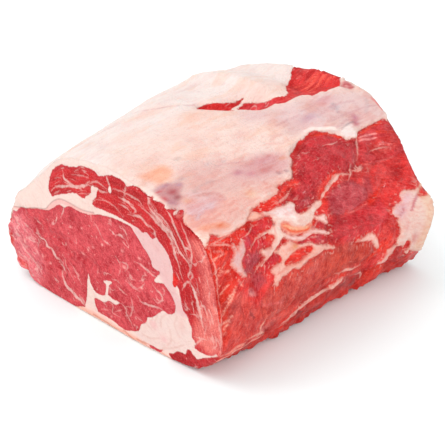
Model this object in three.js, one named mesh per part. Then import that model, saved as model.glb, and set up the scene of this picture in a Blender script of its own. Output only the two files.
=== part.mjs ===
// Boneless ribeye joint of raw beef: one uncut block, several steaks thick, lying on its rib side.
//
// Millimetres, +Z up. X runs across the cut face, from the rounded chine side (-X) to the lip side (+X).
// Y runs along the loin, with the cut face that shows the eye of the meat at -Y and the far cut face at +Y.
// The origin is the middle of the flat rib side that the joint rests on.
//
// The block is one closed skin. Fourteen rails run along it, a closed curve through them gives the outline
// at any place along its length, and named forms then raise or sink the skin: the fat cap over the bare lip
// side, the seam that opens on the back, the lean band and the tail fat on the lip side, and the rib marks.

import * as THREE from "three";

// Driving dimensions.
const LENGTH = 190;
const RIM_ROUNDING = 1.6; // how far the cut edges are rounded over
const GROUND_FADE = 7; // height over which the forms die out above the flat underside

// The lines that run the length of the block, each as [x, z] at the cut face, at one third and at two
// thirds of the length, and at the far face. They are in order round the outline, from the lip side's foot.
const RAILS = {
  foot: [[69, 0], [68, 0], [71, 0], [75, 0]],
  lipFoot: [[87, 9.5], [83, 2.5], [85, 2], [93, 5]],
  lipLow: [[100, 25], [96, 20], [97, 22], [106.5, 28]],
  lipMiddle: [[96.5, 52], [97, 54], [97, 52], [106.5, 53]],
  lipHigh: [[89.5, 84], [91, 88], [90, 86], [88.5, 67]],
  shoulder: [[77, 95], [76, 102], [75, 103], [69, 93]],
  topRight: [[42, 104], [41, 109], [39, 112], [44, 112]],
  crown: [[7, 109.5], [3, 114], [-1, 116], [-1, 115]],
  topLeft: [[-37, 101], [-43, 106], [-49, 108], [-49, 103]],
  chineShoulder: [[-76, 69], [-83, 74], [-90, 79], [-87, 78]],
  chineMiddle: [[-95, 38], [-102, 42], [-107, 44], [-106, 46]],
  chineLow: [[-91.5, 12], [-96, 13], [-98, 14], [-97, 16]],
  heel: [[-66, 0], [-65, 0], [-65, 0], [-65, 0]],
  sole: [[1, 0], [5, 0], [7, 0], [7, 0]],
};
const RAIL_NAMES = Object.keys(RAILS);
const RAIL = Object.fromEntries(RAIL_NAMES.map((name, index) => [name, index]));

// How many facets lie between each rail and the next: fine on the lip side and the cap, coarse underneath.
const FACETS = [3, 5, 8, 8, 6, 8, 8, 9, 8, 6, 5, 5, 3, 2];
const ROWS = 42; // facets along the length
const FACE_RINGS = [0.95, 0.75, 0.4]; // rings on each cut face, as shares of its outline
const FACE_MIDDLE = 48; // height of the point that the rings of a cut face close on

// The fat cap's upper layer, which ends in a step on the lip side. Its edge is given as [distance from the
// cut face, rails round from the foot], and its thickness and the width of the step follow.
const CAP = {
  edge: [[0, 4.45], [22, 4.45], [50, 4.8], [72, 5.1], [90, 5.5], [122, 5.6], [142, 5.2], [165, 5.35]],
  thickness: 2,
  stepWidth: 0.45,
};

// The seam that opens along the back, given as [distance from the cut face, x], and the muscle it bares.
const SEAM = { line: [[90, -14], [108, 0], [130, 11], [150, 14]], depth: 4, halfWidth: 7, runOut: 16 };
const BARE_MUSCLE = { x: 5, y: 66, halfWidth: 19, halfLength: 24, depth: 2 };

// The shallow saddle in the cap behind the shoulder.
const SADDLE = { x: 52, y: -22, halfWidth: 24, halfLength: 42, depth: 2.4 };

// The long lean band on the lip side, whose upper edge is a ridge at this height, in rails.
const BAND = { top: 2.95, from: -66, to: 58, runOut: 30, height: 1.6, halfWidth: 0.5 };

// The tail fat, a rounded lump at the foot of the far end.
const TAIL_FAT = { rail: 2.6, y: 84, halfHeight: 0.95, halfLength: 16, height: 1.8 };

// The uneven hem of thin meat along the lip side's foot.
const HEM = { rail: 1.25, halfHeight: 0.5, height: 1.4, waves: [[47, 0.4], [27, 2.1]] };

// The scallops that the rib bones left low on the chine side.
const RIBS = { spacing: 43, depth: 1.4, rail: 10.7, halfHeight: 1.2 };

// The cut faces: the near one stands forward at its foot, and the cut muscles swell out of both.
const FACE_FOOT = { from: 74, runOut: 40, reach: 3.2, height: 95 };
const FACE_SWELL = { x: -25, z: 42, halfWidth: 70, halfHeight: 34, height: 1.5 };
const FACE_DEPTH = 0.16; // share of the length over which a face's own form is felt

const clamp01 = (value) => Math.min(1, Math.max(0, value));
const smoothStep = (value) => clamp01(value) ** 2 * (3 - 2 * clamp01(value));
const bump = (distance) => Math.exp(-distance * distance);

// Reads a line given as [place, value] pairs at one place, with a smooth run between the pairs.
function along(line, place) {
  const after = line.findIndex(([at]) => at > place);
  if (after === 0) return line[0][1];
  if (after < 0) return line[line.length - 1][1];
  const [fromPlace, fromValue] = line[after - 1];
  const [toPlace, toValue] = line[after];
  return fromValue + (toValue - fromValue) * smoothStep((place - fromPlace) / (toPlace - fromPlace));
}

// Size of a round form at a place: flat in its middle, gone a little past its half sizes.
const mound = (size, across, lengthwise) => size * bump(Math.hypot(across, lengthwise) ** 2);
const moundAt = ({ depth, halfWidth, halfLength, ...at }, x, y) =>
  mound(depth, (x - at.x) / halfWidth, (y - at.y) / halfLength);

const railCurves = RAIL_NAMES.map((name) => {
  const stations = RAILS[name].map(
    ([x, z], index, all) => new THREE.Vector3(x, LENGTH * (index / (all.length - 1) - 0.5), z),
  );
  return new THREE.CatmullRomCurve3(stations, false, "catmullrom", 0.5);
});

// The smooth outline of the block at a share of its length, as a closed curve through the rails.
function outlineAt(share) {
  const points = railCurves.map((rail) => rail.getPoint(share));
  return new THREE.CatmullRomCurve3(points, true, "catmullrom", 0.5);
}

// The cap covers the back and the chine side, and ends on the lip side.
function capForm(round, distance) {
  const overChine = smoothStep((RAIL.chineMiddle - round) / 1.2);
  return CAP.thickness * smoothStep((round - along(CAP.edge, distance)) / CAP.stepWidth) * overChine;
}

function backForm(round, x, y, distance) {
  if (round < RAIL.shoulder - 1 || round > RAIL.chineShoulder) return 0;
  const [start, end] = [SEAM.line[0][0], SEAM.line[SEAM.line.length - 1][0]];
  const opening = smoothStep((distance - start + SEAM.runOut) / SEAM.runOut / 1.5);
  const closing = smoothStep((end + SEAM.runOut - distance) / SEAM.runOut / 1.5);
  const groove = SEAM.depth * opening * closing * bump((x - along(SEAM.line, distance)) / SEAM.halfWidth);
  return -Math.max(groove, moundAt(BARE_MUSCLE, x, y)) - moundAt(SADDLE, x, y);
}

function bandForm(round, y) {
  const run = smoothStep((y - BAND.from) / BAND.runOut) * smoothStep((BAND.to - y) / BAND.runOut);
  return BAND.height * run * bump((round - BAND.top) / BAND.halfWidth);
}

function tailFatForm(round, y) {
  const { rail, halfHeight, halfLength } = TAIL_FAT;
  return mound(TAIL_FAT.height, (round - rail) / halfHeight, (y - TAIL_FAT.y) / halfLength);
}

function hemForm(round, y) {
  const wave = ([length, phase]) => Math.sin((2 * Math.PI * y) / length + phase);
  const uneven = HEM.waves.reduce((sum, one) => sum + wave(one), 0);
  return HEM.height * (0.5 + 0.25 * uneven) * bump((round - HEM.rail) / HEM.halfHeight);
}

function ribForm(round, y) {
  const scallop = 0.5 + 0.5 * Math.cos((2 * Math.PI * y) / RIBS.spacing);
  return -RIBS.depth * scallop * bump((round - RIBS.rail) / RIBS.halfHeight);
}

// How far a cut face stands out of its plane at a point, so that the cut is not a dead flat one.
function faceSwell(point, end) {
  const { from, runOut, reach, height } = FACE_FOOT;
  const lean = smoothStep((from - point.x) / runOut) * clamp01(1 - point.z / height);
  const across = (point.x - FACE_SWELL.x) / FACE_SWELL.halfWidth;
  const swell = mound(FACE_SWELL.height, across, (point.z - FACE_SWELL.z) / FACE_SWELL.halfHeight);
  return end * (swell + (end < 0 ? reach * lean : 0));
}

// One outline of the finished skin: the smooth outline, pushed out or in along its own normal by the forms.
function skinRow(share, inset = 0) {
  const outline = outlineAt(share);
  const row = [];
  FACETS.forEach((count, rail) => {
    for (let facet = 0; facet < count; facet++) {
      const round = rail + facet / count;
      const at = round / RAIL_NAMES.length;
      const point = outline.getPoint(at);
      const tangent = outline.getTangent(at);
      const outward = new THREE.Vector3(tangent.z, 0, -tangent.x).normalize();
      const { x, y } = point;
      const forms =
        capForm(round, share * LENGTH) + backForm(round, x, y, share * LENGTH) + bandForm(round, y) +
        tailFatForm(round, y) + hemForm(round, y) + ribForm(round, y);
      point.addScaledVector(outward, forms * smoothStep(point.z / GROUND_FADE) - inset);
      point.z = Math.max(0, point.z);
      row.push(point);
    }
  });
  const nearFace = smoothStep((Math.abs(share - 0.5) - 0.5 + FACE_DEPTH) / FACE_DEPTH);
  row.forEach((point) => (point.y += faceSwell(point, Math.sign(share - 0.5)) * nearFace));
  return row;
}

// The rings that close one end: the rim drawn in to the middle of the face, each swelling as the face does.
function closingRings(rim, end) {
  const middle = new THREE.Vector3(0, (end * LENGTH) / 2, FACE_MIDDLE);
  const settle = (point) => point.setY(middle.y + faceSwell(point, end));
  const rings = FACE_RINGS.map((share) => rim.map((edge) => settle(edge.clone().lerp(middle, 1 - share))));
  return { rings, tip: settle(middle.clone()) };
}

function buildBlock() {
  const margin = RIM_ROUNDING / LENGTH;
  const shareOf = (row) => margin + ((1 - 2 * margin) * row) / ROWS;
  const rows = Array.from({ length: ROWS + 1 }, (_, row) => skinRow(shareOf(row)));
  const [nearRim, farRim] = [0, 1].map((share) => skinRow(share, RIM_ROUNDING * 0.6));
  const near = closingRings(nearRim, -1);
  const far = closingRings(farRim, 1);
  const rings = [...near.rings.reverse(), nearRim, ...rows, farRim, ...far.rings];
  const points = [near.tip, ...rings.flat(), far.tip];

  const around = nearRim.length;
  const first = (ring) => 1 + ring * around;
  const index = [];
  for (let step = 0; step < around; step++) {
    const next = (step + 1) % around;
    index.push(0, first(0) + step, first(0) + next);
    for (let ring = 0; ring + 1 < rings.length; ring++) {
      const [here, there] = [first(ring), first(ring + 1)];
      index.push(here + step, there + step, here + next, here + next, there + step, there + next);
    }
    const last = first(rings.length - 1);
    index.push(points.length - 1, last + next, last + step);
  }

  const geometry = new THREE.BufferGeometry().setFromPoints(points);
  geometry.setIndex(index);
  geometry.computeBoundingBox();
  const centre = geometry.boundingBox.getCenter(new THREE.Vector3());
  geometry.translate(-centre.x, -centre.y, 0);
  geometry.computeVertexNormals();
  return geometry;
}

const rawBeef = new THREE.MeshStandardMaterial({ color: 0xc4464c, roughness: 0.38, metalness: 0 });
const ribeye = new THREE.Mesh(buildBlock(), rawBeef);
ribeye.name = "ribeye_joint";

const joint = new THREE.Group();
joint.add(ribeye);

export default joint;
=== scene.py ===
# A raw boneless ribeye joint of beef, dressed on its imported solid: fat cap, cut faces and bare lean side.
import math

import bmesh
import bpy
import numpy as np
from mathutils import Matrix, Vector
from mathutils.bvhtree import BVHTree


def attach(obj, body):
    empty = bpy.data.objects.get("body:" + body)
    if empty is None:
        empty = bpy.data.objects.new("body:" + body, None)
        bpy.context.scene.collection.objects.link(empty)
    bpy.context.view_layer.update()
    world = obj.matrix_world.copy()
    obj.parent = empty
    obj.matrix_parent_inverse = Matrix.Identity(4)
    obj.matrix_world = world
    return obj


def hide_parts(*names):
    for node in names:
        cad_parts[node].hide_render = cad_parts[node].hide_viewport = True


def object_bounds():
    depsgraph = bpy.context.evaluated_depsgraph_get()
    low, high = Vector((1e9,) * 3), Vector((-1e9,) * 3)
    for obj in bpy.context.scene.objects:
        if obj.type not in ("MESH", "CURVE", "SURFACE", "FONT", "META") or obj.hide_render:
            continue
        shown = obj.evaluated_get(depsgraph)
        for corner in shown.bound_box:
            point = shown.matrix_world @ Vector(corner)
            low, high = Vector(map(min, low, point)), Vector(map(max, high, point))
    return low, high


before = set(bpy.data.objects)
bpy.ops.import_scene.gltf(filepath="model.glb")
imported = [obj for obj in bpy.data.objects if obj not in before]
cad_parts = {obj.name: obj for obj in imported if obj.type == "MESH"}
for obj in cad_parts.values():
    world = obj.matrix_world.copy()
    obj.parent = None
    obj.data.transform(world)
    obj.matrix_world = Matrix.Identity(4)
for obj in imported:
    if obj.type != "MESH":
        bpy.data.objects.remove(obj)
cad_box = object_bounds()
MM = 0.001


# ---------------------------------------------------------------------------------------------------------
# The studio: a pale table, soft daylight from above and behind the joint's shoulder, and a camera that
# looks down on the corner between the cut face and the lip side.
TABLE_SIZE = 12.0
TABLE_WHITE, TABLE_ROUGHNESS = (0.88, 0.955, 0.96, 1), 0.9
DAYLIGHT, DAYLIGHT_STRENGTH = (1.0, 1.0, 1.0, 1), 0.92
AZIMUTH, ELEVATION = math.radians(44.5), math.radians(30)
LOOK_AT = Vector((9.67, -2.6, 40)) * MM
DISTANCE = 1.0317
FILM_WIDTH, HALF_VIEW = 36, math.radians(8)

table_mesh = bpy.data.meshes.new("table")
corners = [(x * TABLE_SIZE / 2, y * TABLE_SIZE / 2, 0.0) for x, y in ((-1, -1), (1, -1), (1, 1), (-1, 1))]
table_mesh.from_pydata(corners, [], [(0, 1, 2, 3)])
table = bpy.data.objects.new("table", table_mesh)
bpy.context.collection.objects.link(table)
table_white = bpy.data.materials.new("table_white")
table_white.use_nodes = True
table_white.node_tree.nodes["Principled BSDF"].inputs["Base Color"].default_value = TABLE_WHITE
table_white.node_tree.nodes["Principled BSDF"].inputs["Roughness"].default_value = TABLE_ROUGHNESS
table_mesh.materials.append(table_white)

scene = bpy.context.scene
scene.view_settings.view_transform = "Standard"
world = bpy.data.worlds.new("daylight")
scene.world = world
world.use_nodes = True
world.node_tree.nodes["Background"].inputs["Color"].default_value = DAYLIGHT
world.node_tree.nodes["Background"].inputs["Strength"].default_value = DAYLIGHT_STRENGTH

to_camera = Vector((
    math.sin(AZIMUTH) * math.cos(ELEVATION), -math.cos(AZIMUTH) * math.cos(ELEVATION), math.sin(ELEVATION)))
camera_data = bpy.data.cameras.new("camera")
camera_data.sensor_width = FILM_WIDTH
camera_data.lens = FILM_WIDTH / 2 / math.tan(HALF_VIEW)
camera = bpy.data.objects.new("camera", camera_data)
camera.location = LOOK_AT + to_camera * DISTANCE
camera.rotation_euler = to_camera.to_track_quat("Z", "Y").to_euler()
bpy.context.collection.objects.link(camera)
scene.camera = camera


def softbox(name, place, size, power, colour):
    """A square soft light that faces the joint."""
    light = bpy.data.lights.new(name, "AREA")
    light.size = size
    light.energy = power
    light.color = colour
    box = bpy.data.objects.new(name, light)
    box.location = place
    box.rotation_euler = (Vector(place) - LOOK_AT).to_track_quat("Z", "Y").to_euler()
    bpy.context.collection.objects.link(box)


softbox("key", (-1.1, -0.5, 1.9), 1.5, 18, (1.0, 0.985, 0.97))
softbox("fill", (1.5, -1.4, 0.7), 1.6, 18, (1.0, 0.99, 0.985))
softbox("sparkle behind", (1.2, 1.1, 0.9), 0.25, 2.4, (1.0, 1.0, 1.0))
softbox("sparkle in front", (-1.0, -1.2, 0.9), 0.25, 1.6, (1.0, 1.0, 1.0))


# ---------------------------------------------------------------------------------------------------------
# The block of meat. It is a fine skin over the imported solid: the solid is welded and rounded, laid over
# with even squares, and the squares are halved where the cut face and the bare lip side need finer detail.
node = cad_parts["ribeye_joint"]
EVEN, WELD = 2.6 * MM, 0.01 * MM
FLAT_ENOUGH = 0.7
# Where the squares are halved: first on both cuts and the lip side, then on the near cut once more.
FINE_AREAS = [
    lambda place, facing: facing.y < -0.5 or facing.y > 0.5 or place.x > 30 * MM and place.z > 3 * MM,
    lambda place, facing: facing.y < -0.5,
]


def rounded_copy(solid):
    """The solid's own mesh, welded and subdivided smooth, as a new object."""
    mesh = solid.data.copy()
    work = bmesh.new()
    work.from_mesh(mesh)
    bmesh.ops.remove_doubles(work, verts=work.verts, dist=WELD)
    bmesh.ops.join_triangles(
        work, faces=work.faces, angle_face_threshold=FLAT_ENOUGH, angle_shape_threshold=FLAT_ENOUGH)
    work.to_mesh(mesh)
    work.free()
    mesh.materials.clear()
    copy = bpy.data.objects.new("raw_joint", mesh)
    bpy.context.collection.objects.link(copy)
    return copy


def settle(piece):
    """Turns the piece's live modifiers into plain mesh."""
    evaluated = piece.evaluated_get(bpy.context.evaluated_depsgraph_get())
    mesh = bpy.data.meshes.new_from_object(evaluated)
    piece.modifiers.clear()
    old = piece.data
    piece.data = mesh
    bpy.data.meshes.remove(old)


# The rounded skin is kept aside, and the even squares are drawn back onto it.
joint = rounded_copy(node)
rounding = joint.modifiers.new("rounding", "SUBSURF")
rounding.levels = rounding.render_levels = 2
settle(joint)
rounded = bmesh.new()
rounded.from_mesh(joint.data)
smooth_skin = BVHTree.FromBMesh(rounded)
rounded.free()
even = joint.modifiers.new("even", "REMESH")
even.mode = "VOXEL"
even.voxel_size = EVEN
settle(joint)

squares = bmesh.new()
squares.from_mesh(joint.data)
for wanted in FINE_AREAS:
    squares.normal_update()
    edges = {
        edge for face in squares.faces if wanted(face.calc_center_median(), face.normal)
        for edge in face.edges}
    bmesh.ops.subdivide_edges(squares, edges=list(edges), cuts=1, use_grid_fill=True)
for vertex in squares.verts:
    vertex.co = smooth_skin.find_nearest(vertex.co)[0]
bmesh.ops.triangulate(squares, faces=[face for face in squares.faces if len(face.verts) > 4])
for face in squares.faces:
    face.smooth = True
squares.to_mesh(joint.data)
squares.free()


# ---------------------------------------------------------------------------------------------------------
# The muscles and fat of the near cut, as the knife left them. Everything on the joint is drawn on a chart,
# one side of the block laid flat, in millimetres, by smooth lines through listed points. On the near cut
# a place is (across, up).
PALE_FAT = "E4CAC1"
EYE_RED, CAP_RED, BAND_RED, FLAP_RED = "C7464F", "BC161E", "D87068", "B4222A"


def paint(code):
    """A colour written as on a paint card, as the shader's own red, green and blue."""
    shares = [int(code[place:place + 2], 16) / 255 for place in (0, 2, 4)]
    return np.array([
        share / 12.92 if share < 0.04045 else ((share + 0.055) / 1.055) ** 2.4 for share in shares])


def smooth(low, high, value):
    """Rises smoothly from 0 at low to 1 at high."""
    share = np.clip((value - low) / (high - low), 0, 1)
    return share * share * (3 - 2 * share)


def lumps(places, size, seed=0):
    """Smooth unevenness between -1 and 1, with lumps about `size` across."""
    cell = places / size + 11.3 * seed
    low = np.floor(cell)
    share = cell - low
    share = share * share * (3 - 2 * share)
    total = np.zeros(len(places))
    for corner in np.ndindex(*(2,) * places.shape[1]):
        hashed = np.sin((low + corner) @ np.array((12.9898, 78.233, 37.719))[:places.shape[1]]) * 43758.5453
        weight = np.prod(np.where(corner, share, 1 - share), axis=1)
        total += weight * (hashed - np.floor(hashed))
    return 2 * total - 1


def smooth_run(points, closed=False, step=0.8):
    """A smooth run of places through listed points, about `step` apart."""
    points = np.array(points, float)
    if closed:
        ends = np.vstack([points[-1], points, points[0], points[1]])
    else:
        ends = np.vstack([2 * points[0] - points[1], points, 2 * points[-1] - points[-2]])
    run = []
    for first, start, end, last in zip(ends, ends[1:], ends[2:], ends[3:]):
        count = max(1, round(np.linalg.norm(end - start) / step))
        share = np.arange(count)[:, None] / count
        run.append(0.5 * (
            2 * start + (end - first) * share + (2 * first - 5 * start + 4 * end - last) * share ** 2
            + (3 * start - first - 3 * end + last) * share ** 3))
    return np.vstack([*run, ends[-2]])


def nearest(run, places):
    """For each place: its distance to the run, on which side it lies and how far off, and how far along."""
    distance = np.full(len(places), 1e6)
    offset, along = np.zeros(len(places)), np.zeros(len(places))
    travelled = 0.0
    for start, end in zip(run, run[1:]):
        span = end - start
        size = math.hypot(*span)
        from_start = places - start
        share = np.clip(from_start @ span / size ** 2, 0, 1)
        gap = from_start - share[:, None] * span
        reach = np.hypot(gap[:, 0], gap[:, 1])
        closer = reach < distance
        distance[closer] = reach[closer]
        offset[closer] = (span[0] * from_start[closer, 1] - span[1] * from_start[closer, 0]) / size
        along[closer] = travelled + share[closer] * size
        travelled += size
    return distance, offset, along, travelled


def depth_inside(points, places):
    """How far each place is inside a closed smooth outline, negative outside."""
    run = smooth_run(points, closed=True)
    reach = 14
    near = np.all((places > run.min(0) - reach) & (places < run.max(0) + reach), axis=1)
    depth = np.full(len(places), -float(reach))
    distance = nearest(run, places[near])[0]
    x, y = places[near].T
    inside = np.zeros(len(x), bool)
    for (x0, y0), (x1, y1) in zip(run, run[1:]):
        if y0 != y1:
            inside ^= ((y0 > y) != (y1 > y)) & (x < (x1 - x0) * (y - y0) / (y1 - y0) + x0)
    depth[near] = np.where(inside, distance, -distance)
    return depth


class Chart:
    """One side of the joint laid flat, and what is drawn on it.

    fat is the depth inside the fat, negative in the lean. seam is the offset and distance of the nearest
    seam, and its half width. grain is the place along and beside the fibres. film is how much the fat
    hides. fleck, wet, strands, swell and crease say how much of each there is.
    """

    def __init__(self, members, places, lean=EYE_RED):
        self.members, self.places = np.flatnonzero(members), places[members]
        count = len(self.members)
        all_fat, no_seam = 8.0, (9.0, 9.0, 0.1)
        self.fat = np.full(count, all_fat)
        self.seam = np.tile(no_seam, (count, 1))
        self.lean_tint = np.tile(paint(lean), (count, 1))
        self.fat_tint = np.tile(paint(PALE_FAT), (count, 1))
        self.grain = np.zeros((count, 3))
        self.fleck, self.wet, self.film = np.zeros(count), np.zeros(count), np.ones(count)
        self.strands, self.swell, self.crease = np.zeros(count), np.zeros(count), np.zeros(count)

    def muscle(self, outline):
        """A piece of lean, with fat only outside it."""
        depth = depth_inside(outline, self.places)
        self.fat = np.minimum(self.fat, -depth)
        return depth

    def fat_piece(self, outline, film=1.0, colour=None):
        """A piece of fat over whatever is there; film is how much of the lean it hides."""
        depth = depth_inside(outline, self.places)
        self.fat = np.maximum(self.fat, depth)
        share = smooth(-2.5, 0, depth)
        self.film += share * (film - self.film)
        if colour:
            self.tint(self.fat_tint, colour, outline, 1.5)
        return depth

    def lobe(self, outline, colour):
        """A rounded lobe of muscle with its own red, and the crease round it, sunk and given painted shade.
        """
        depth = depth_inside(outline, self.places) + lumps(self.places, 6, 21)
        self.lean_tint += smooth(-1.5, 1.5, depth)[:, None] * (paint(colour) - self.lean_tint)
        self.swell = np.maximum(self.swell, smooth(-0.5, 6, depth))
        self.crease = np.maximum(self.crease * smooth(2.5, 0.5, depth), np.exp(-(depth / 1.1) ** 2))

    def tint(self, layer, colour, outline, soft=4.0, strength=1.0):
        """Colours the lean or the fat inside an outline, fading over its edge."""
        share = strength * smooth(-soft, soft, depth_inside(outline, self.places))[:, None]
        layer += share * (paint(colour) - layer)

    def spot(self, layer, colour, centre, radius, strength=1.0):
        """Colours a soft round or oval spot."""
        reach = np.hypot(*((self.places - centre) / radius).T)
        layer += (strength * np.exp(-reach ** 2))[:, None] * (paint(colour) - layer)

    def stroke(self, layer, colour, half_width, points, strength=1.0):
        """Colours along a line."""
        distance = nearest(smooth_run(points), self.places)[0]
        share = strength * smooth(half_width + 0.5, half_width - 0.3, distance)[:, None]
        layer += share * (paint(colour) - layer)

    def strokes(self, layer, colour, half_width, lines, strength=1.0):
        """Colours along several lines."""
        for points in lines:
            self.stroke(layer, colour, half_width, points, strength)

    def fibres(self, share, angle, stretch):
        """Lays the grain where share is high at an angle, in degrees up from across the chart."""
        turn = math.radians(angle)
        along = self.places @ (math.cos(turn), math.sin(turn))
        beside = self.places @ (-math.sin(turn), math.cos(turn))
        mine = np.stack([along / stretch, beside, np.full(len(along), angle * 2.0)], axis=1)
        self.grain[share > 0.5] = mine[share > 0.5]
        strands = 0.7 * lumps(mine * (0.9, 1, 1), 4.2, 15) + 0.5 * lumps(mine, 2.6, 16)
        self.strands += share * (strands - self.strands)

    def seam_line(self, half_width, *points):
        """A thin seam of fat, tapering to both ends."""
        run = smooth_run(points)
        near = np.all((self.places > run.min(0) - 8) & (self.places < run.max(0) + 8), axis=1)
        distance, offset, along, length = nearest(run, self.places[near])
        taper = 0.35 + 0.65 * smooth(0, 0.3, np.minimum(along, length - along) / length)
        mine = np.stack([offset, distance, half_width * taper], axis=1)
        here = self.seam[near]
        closer = mine[:, 1] - mine[:, 2] < here[:, 1] - here[:, 2]
        here[closer] = mine[closer]
        self.seam[near] = here

    def seams(self, table, widen=1.0, stretch=(1, 1), shift=(0, 0)):
        """Thin seams from a table of half widths, each with its lines."""
        for half_width, lines in table.items():
            for points in lines:
                self.seam_line(half_width * widen, *(np.array(points) * stretch + shift))


# Where every corner of the skin is, in millimetres, and which way it faces.
corner_count = len(joint.data.vertices)
skin = np.empty(corner_count * 3)
joint.data.vertices.foreach_get("co", skin)
skin = skin.reshape(-1, 3) / MM
facing = np.empty(corner_count * 3)
joint.data.vertices.foreach_get("normal", facing)
facing = facing.reshape(-1, 3)
x, y, z = skin.T

near_side = facing[:, 1] < -0.6
near_cut = Chart(near_side, skin[:, [0, 2]])
cut_lean, cut_fat = near_cut.lean_tint, near_cut.fat_tint
EYE = [
    (-106, 48), (-92, 47), (-87, 48), (-84, 51), (-80, 53), (-73, 56), (-67, 58), (-61, 60.5), (-57, 63),
    (-51, 66), (-46, 69.5), (-42, 71), (-38, 70), (-34, 72), (-29, 73), (-22, 73), (-16, 74), (-12, 75),
    (-7, 77), (-3, 78), (6, 80), (12, 80.5), (18, 80.5), (23, 80.5), (26, 78), (31, 74), (34, 71),
    (38, 68), (41, 64), (42, 61), (45, 60), (48, 60), (48, 58), (46, 55.5), (43.5, 52), (45, 51),
    (48, 52), (52, 52.5), (55, 50), (59, 46), (61, 41), (60, 36), (56, 33), (51, 33.5), (46, 29),
    (42, 25), (38, 23), (36, 19), (32, 15), (30, 10), (24, 7), (19, 5), (13, 5), (7, 6.5), (-1, 7),
    (-8, 7), (-20, 5), (-27, 2), (-45, -4), (-80, -4), (-106, 6),
]
CAP = [
    (-55, 79), (-54, 85), (-50, 92), (-44, 96), (-40, 99), (-33, 100), (-27, 102), (-21, 105), (-14, 106),
    (-9, 106), (-5, 104), (2, 107), (7, 109), (16, 109), (20, 106.5), (25, 109), (32, 109), (37, 107),
    (41, 109), (60, 112), (92, 106), (112, 60), (112, 8), (101, 14), (95, 22), (92, 20), (87, 18),
    (81, 17), (76, 18), (77, 21), (76, 23), (74, 25), (74, 30), (72, 35), (70, 39), (67, 41), (66, 46),
    (65, 49), (64, 53.5), (62.5, 56), (61, 54.5), (60, 54), (59, 57), (59, 64), (58, 68), (56, 72),
    (54, 75), (51, 78), (48, 80), (45, 82), (42, 80), (37, 82), (33, 80.5), (28, 82), (18, 82.5),
    (7, 82.5), (-3, 82), (-10, 81.5), (-15, 84), (-22, 83), (-26, 84), (-32, 82), (-39, 79), (-45, 77),
    (-51, 75),
]
FLAP = [
    (55, 4), (59, 6), (62, 9), (66, 10), (68, 10), (70, 14), (73, 14), (75, 12), (78, 11), (83, 14),
    (89, 17), (96, 21), (99, 20), (92, 14), (85, 8), (78, 3), (70, -2), (62, -3), (57, 1),
]
near_cut.muscle(EYE)
cap = near_cut.muscle(CAP)
near_cut.muscle(FLAP)
near_cut.muscle([(39, 3), (42, 4), (46, 3.5), (50, 5), (48, 2), (44, 1)])

# The star of fat in the eye, and two tongues of fat that cut into the cap.
near_cut.fat_piece([
    (-15, 32), (-13, 26), (-10, 22), (-5, 21), (0, 23), (1, 28), (1, 31), (-0.5, 33), (7, 35.5), (4, 31),
    (3, 26), (3, 24), (8, 23), (13, 23), (10, 20), (7, 20), (3, 20), (-1, 17), (-6, 17), (-10, 16),
    (-9, 10), (-8, 6), (-15, 3), (-20, 4), (-18, 12), (-17, 20), (-16, 28)])
near_cut.fat_piece([
    (-9, 95), (-12, 94), (-13, 90), (-15, 87), (-18, 84), (-15, 80), (-12, 81), (-11, 85), (-8, 88),
    (-7, 92), (-6, 95)])
near_cut.fat_piece([(3.2, 96.5), (4, 100), (5, 101), (5.8, 99.5), (5.2, 96.5)])

# The broad tints: paler fat under the cap, each muscle's own red, and the silver skin over the eye.
near_cut.tint(cut_fat, "E6D2CB", [
    (-112, 66), (-88, 70), (-60, 90), (-44, 104), (-16, 110), (20, 110), (40, 106), (40, 124),
    (-112, 124)], 5, 0.9)
near_cut.tint(cut_lean, CAP_RED, CAP)
near_cut.tint(cut_lean, BAND_RED, [
    (74, 92), (80, 78), (82, 60), (78, 40), (76, 26), (92, 18), (112, 20), (112, 96)])
near_cut.tint(cut_lean, FLAP_RED, FLAP, 1)
near_cut.tint(cut_lean, "DD7A82", [
    (-106, 52), (-84, 50), (-70, 40), (-62, 20), (-64, 4), (-80, -6), (-106, 6)], 8, 0.9)
near_cut.tint(cut_fat, "DCB2B0", [
    (24, 82), (46, 81), (53, 76), (58, 69), (60, 56), (66, 46), (71, 38), (62, 36), (58, 44), (47, 58),
    (40, 62), (31, 74)], 2)
SILVER_SKIN = [
    (-90, 50), (-80, 53), (-68, 58), (-59, 63), (-54, 68), (-49, 72), (-43, 74.5), (-38, 75), (-31, 75),
    (-20, 75), (-10, 77),
]
near_cut.tint(cut_fat, "EFB3AC", [*SILVER_SKIN, (-12, 74), (-30, 72), (-43, 71), (-58, 61), (-84, 50)], 1)
near_cut.stroke(cut_fat, "B9938C", 0.4, SILVER_SKIN, 0.8)
near_cut.tint(cut_fat, "F4C9BD", [(-30, 4), (10, 6), (40, 3), (60, 4), (50, -6), (-40, -6)], 3)

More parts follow.
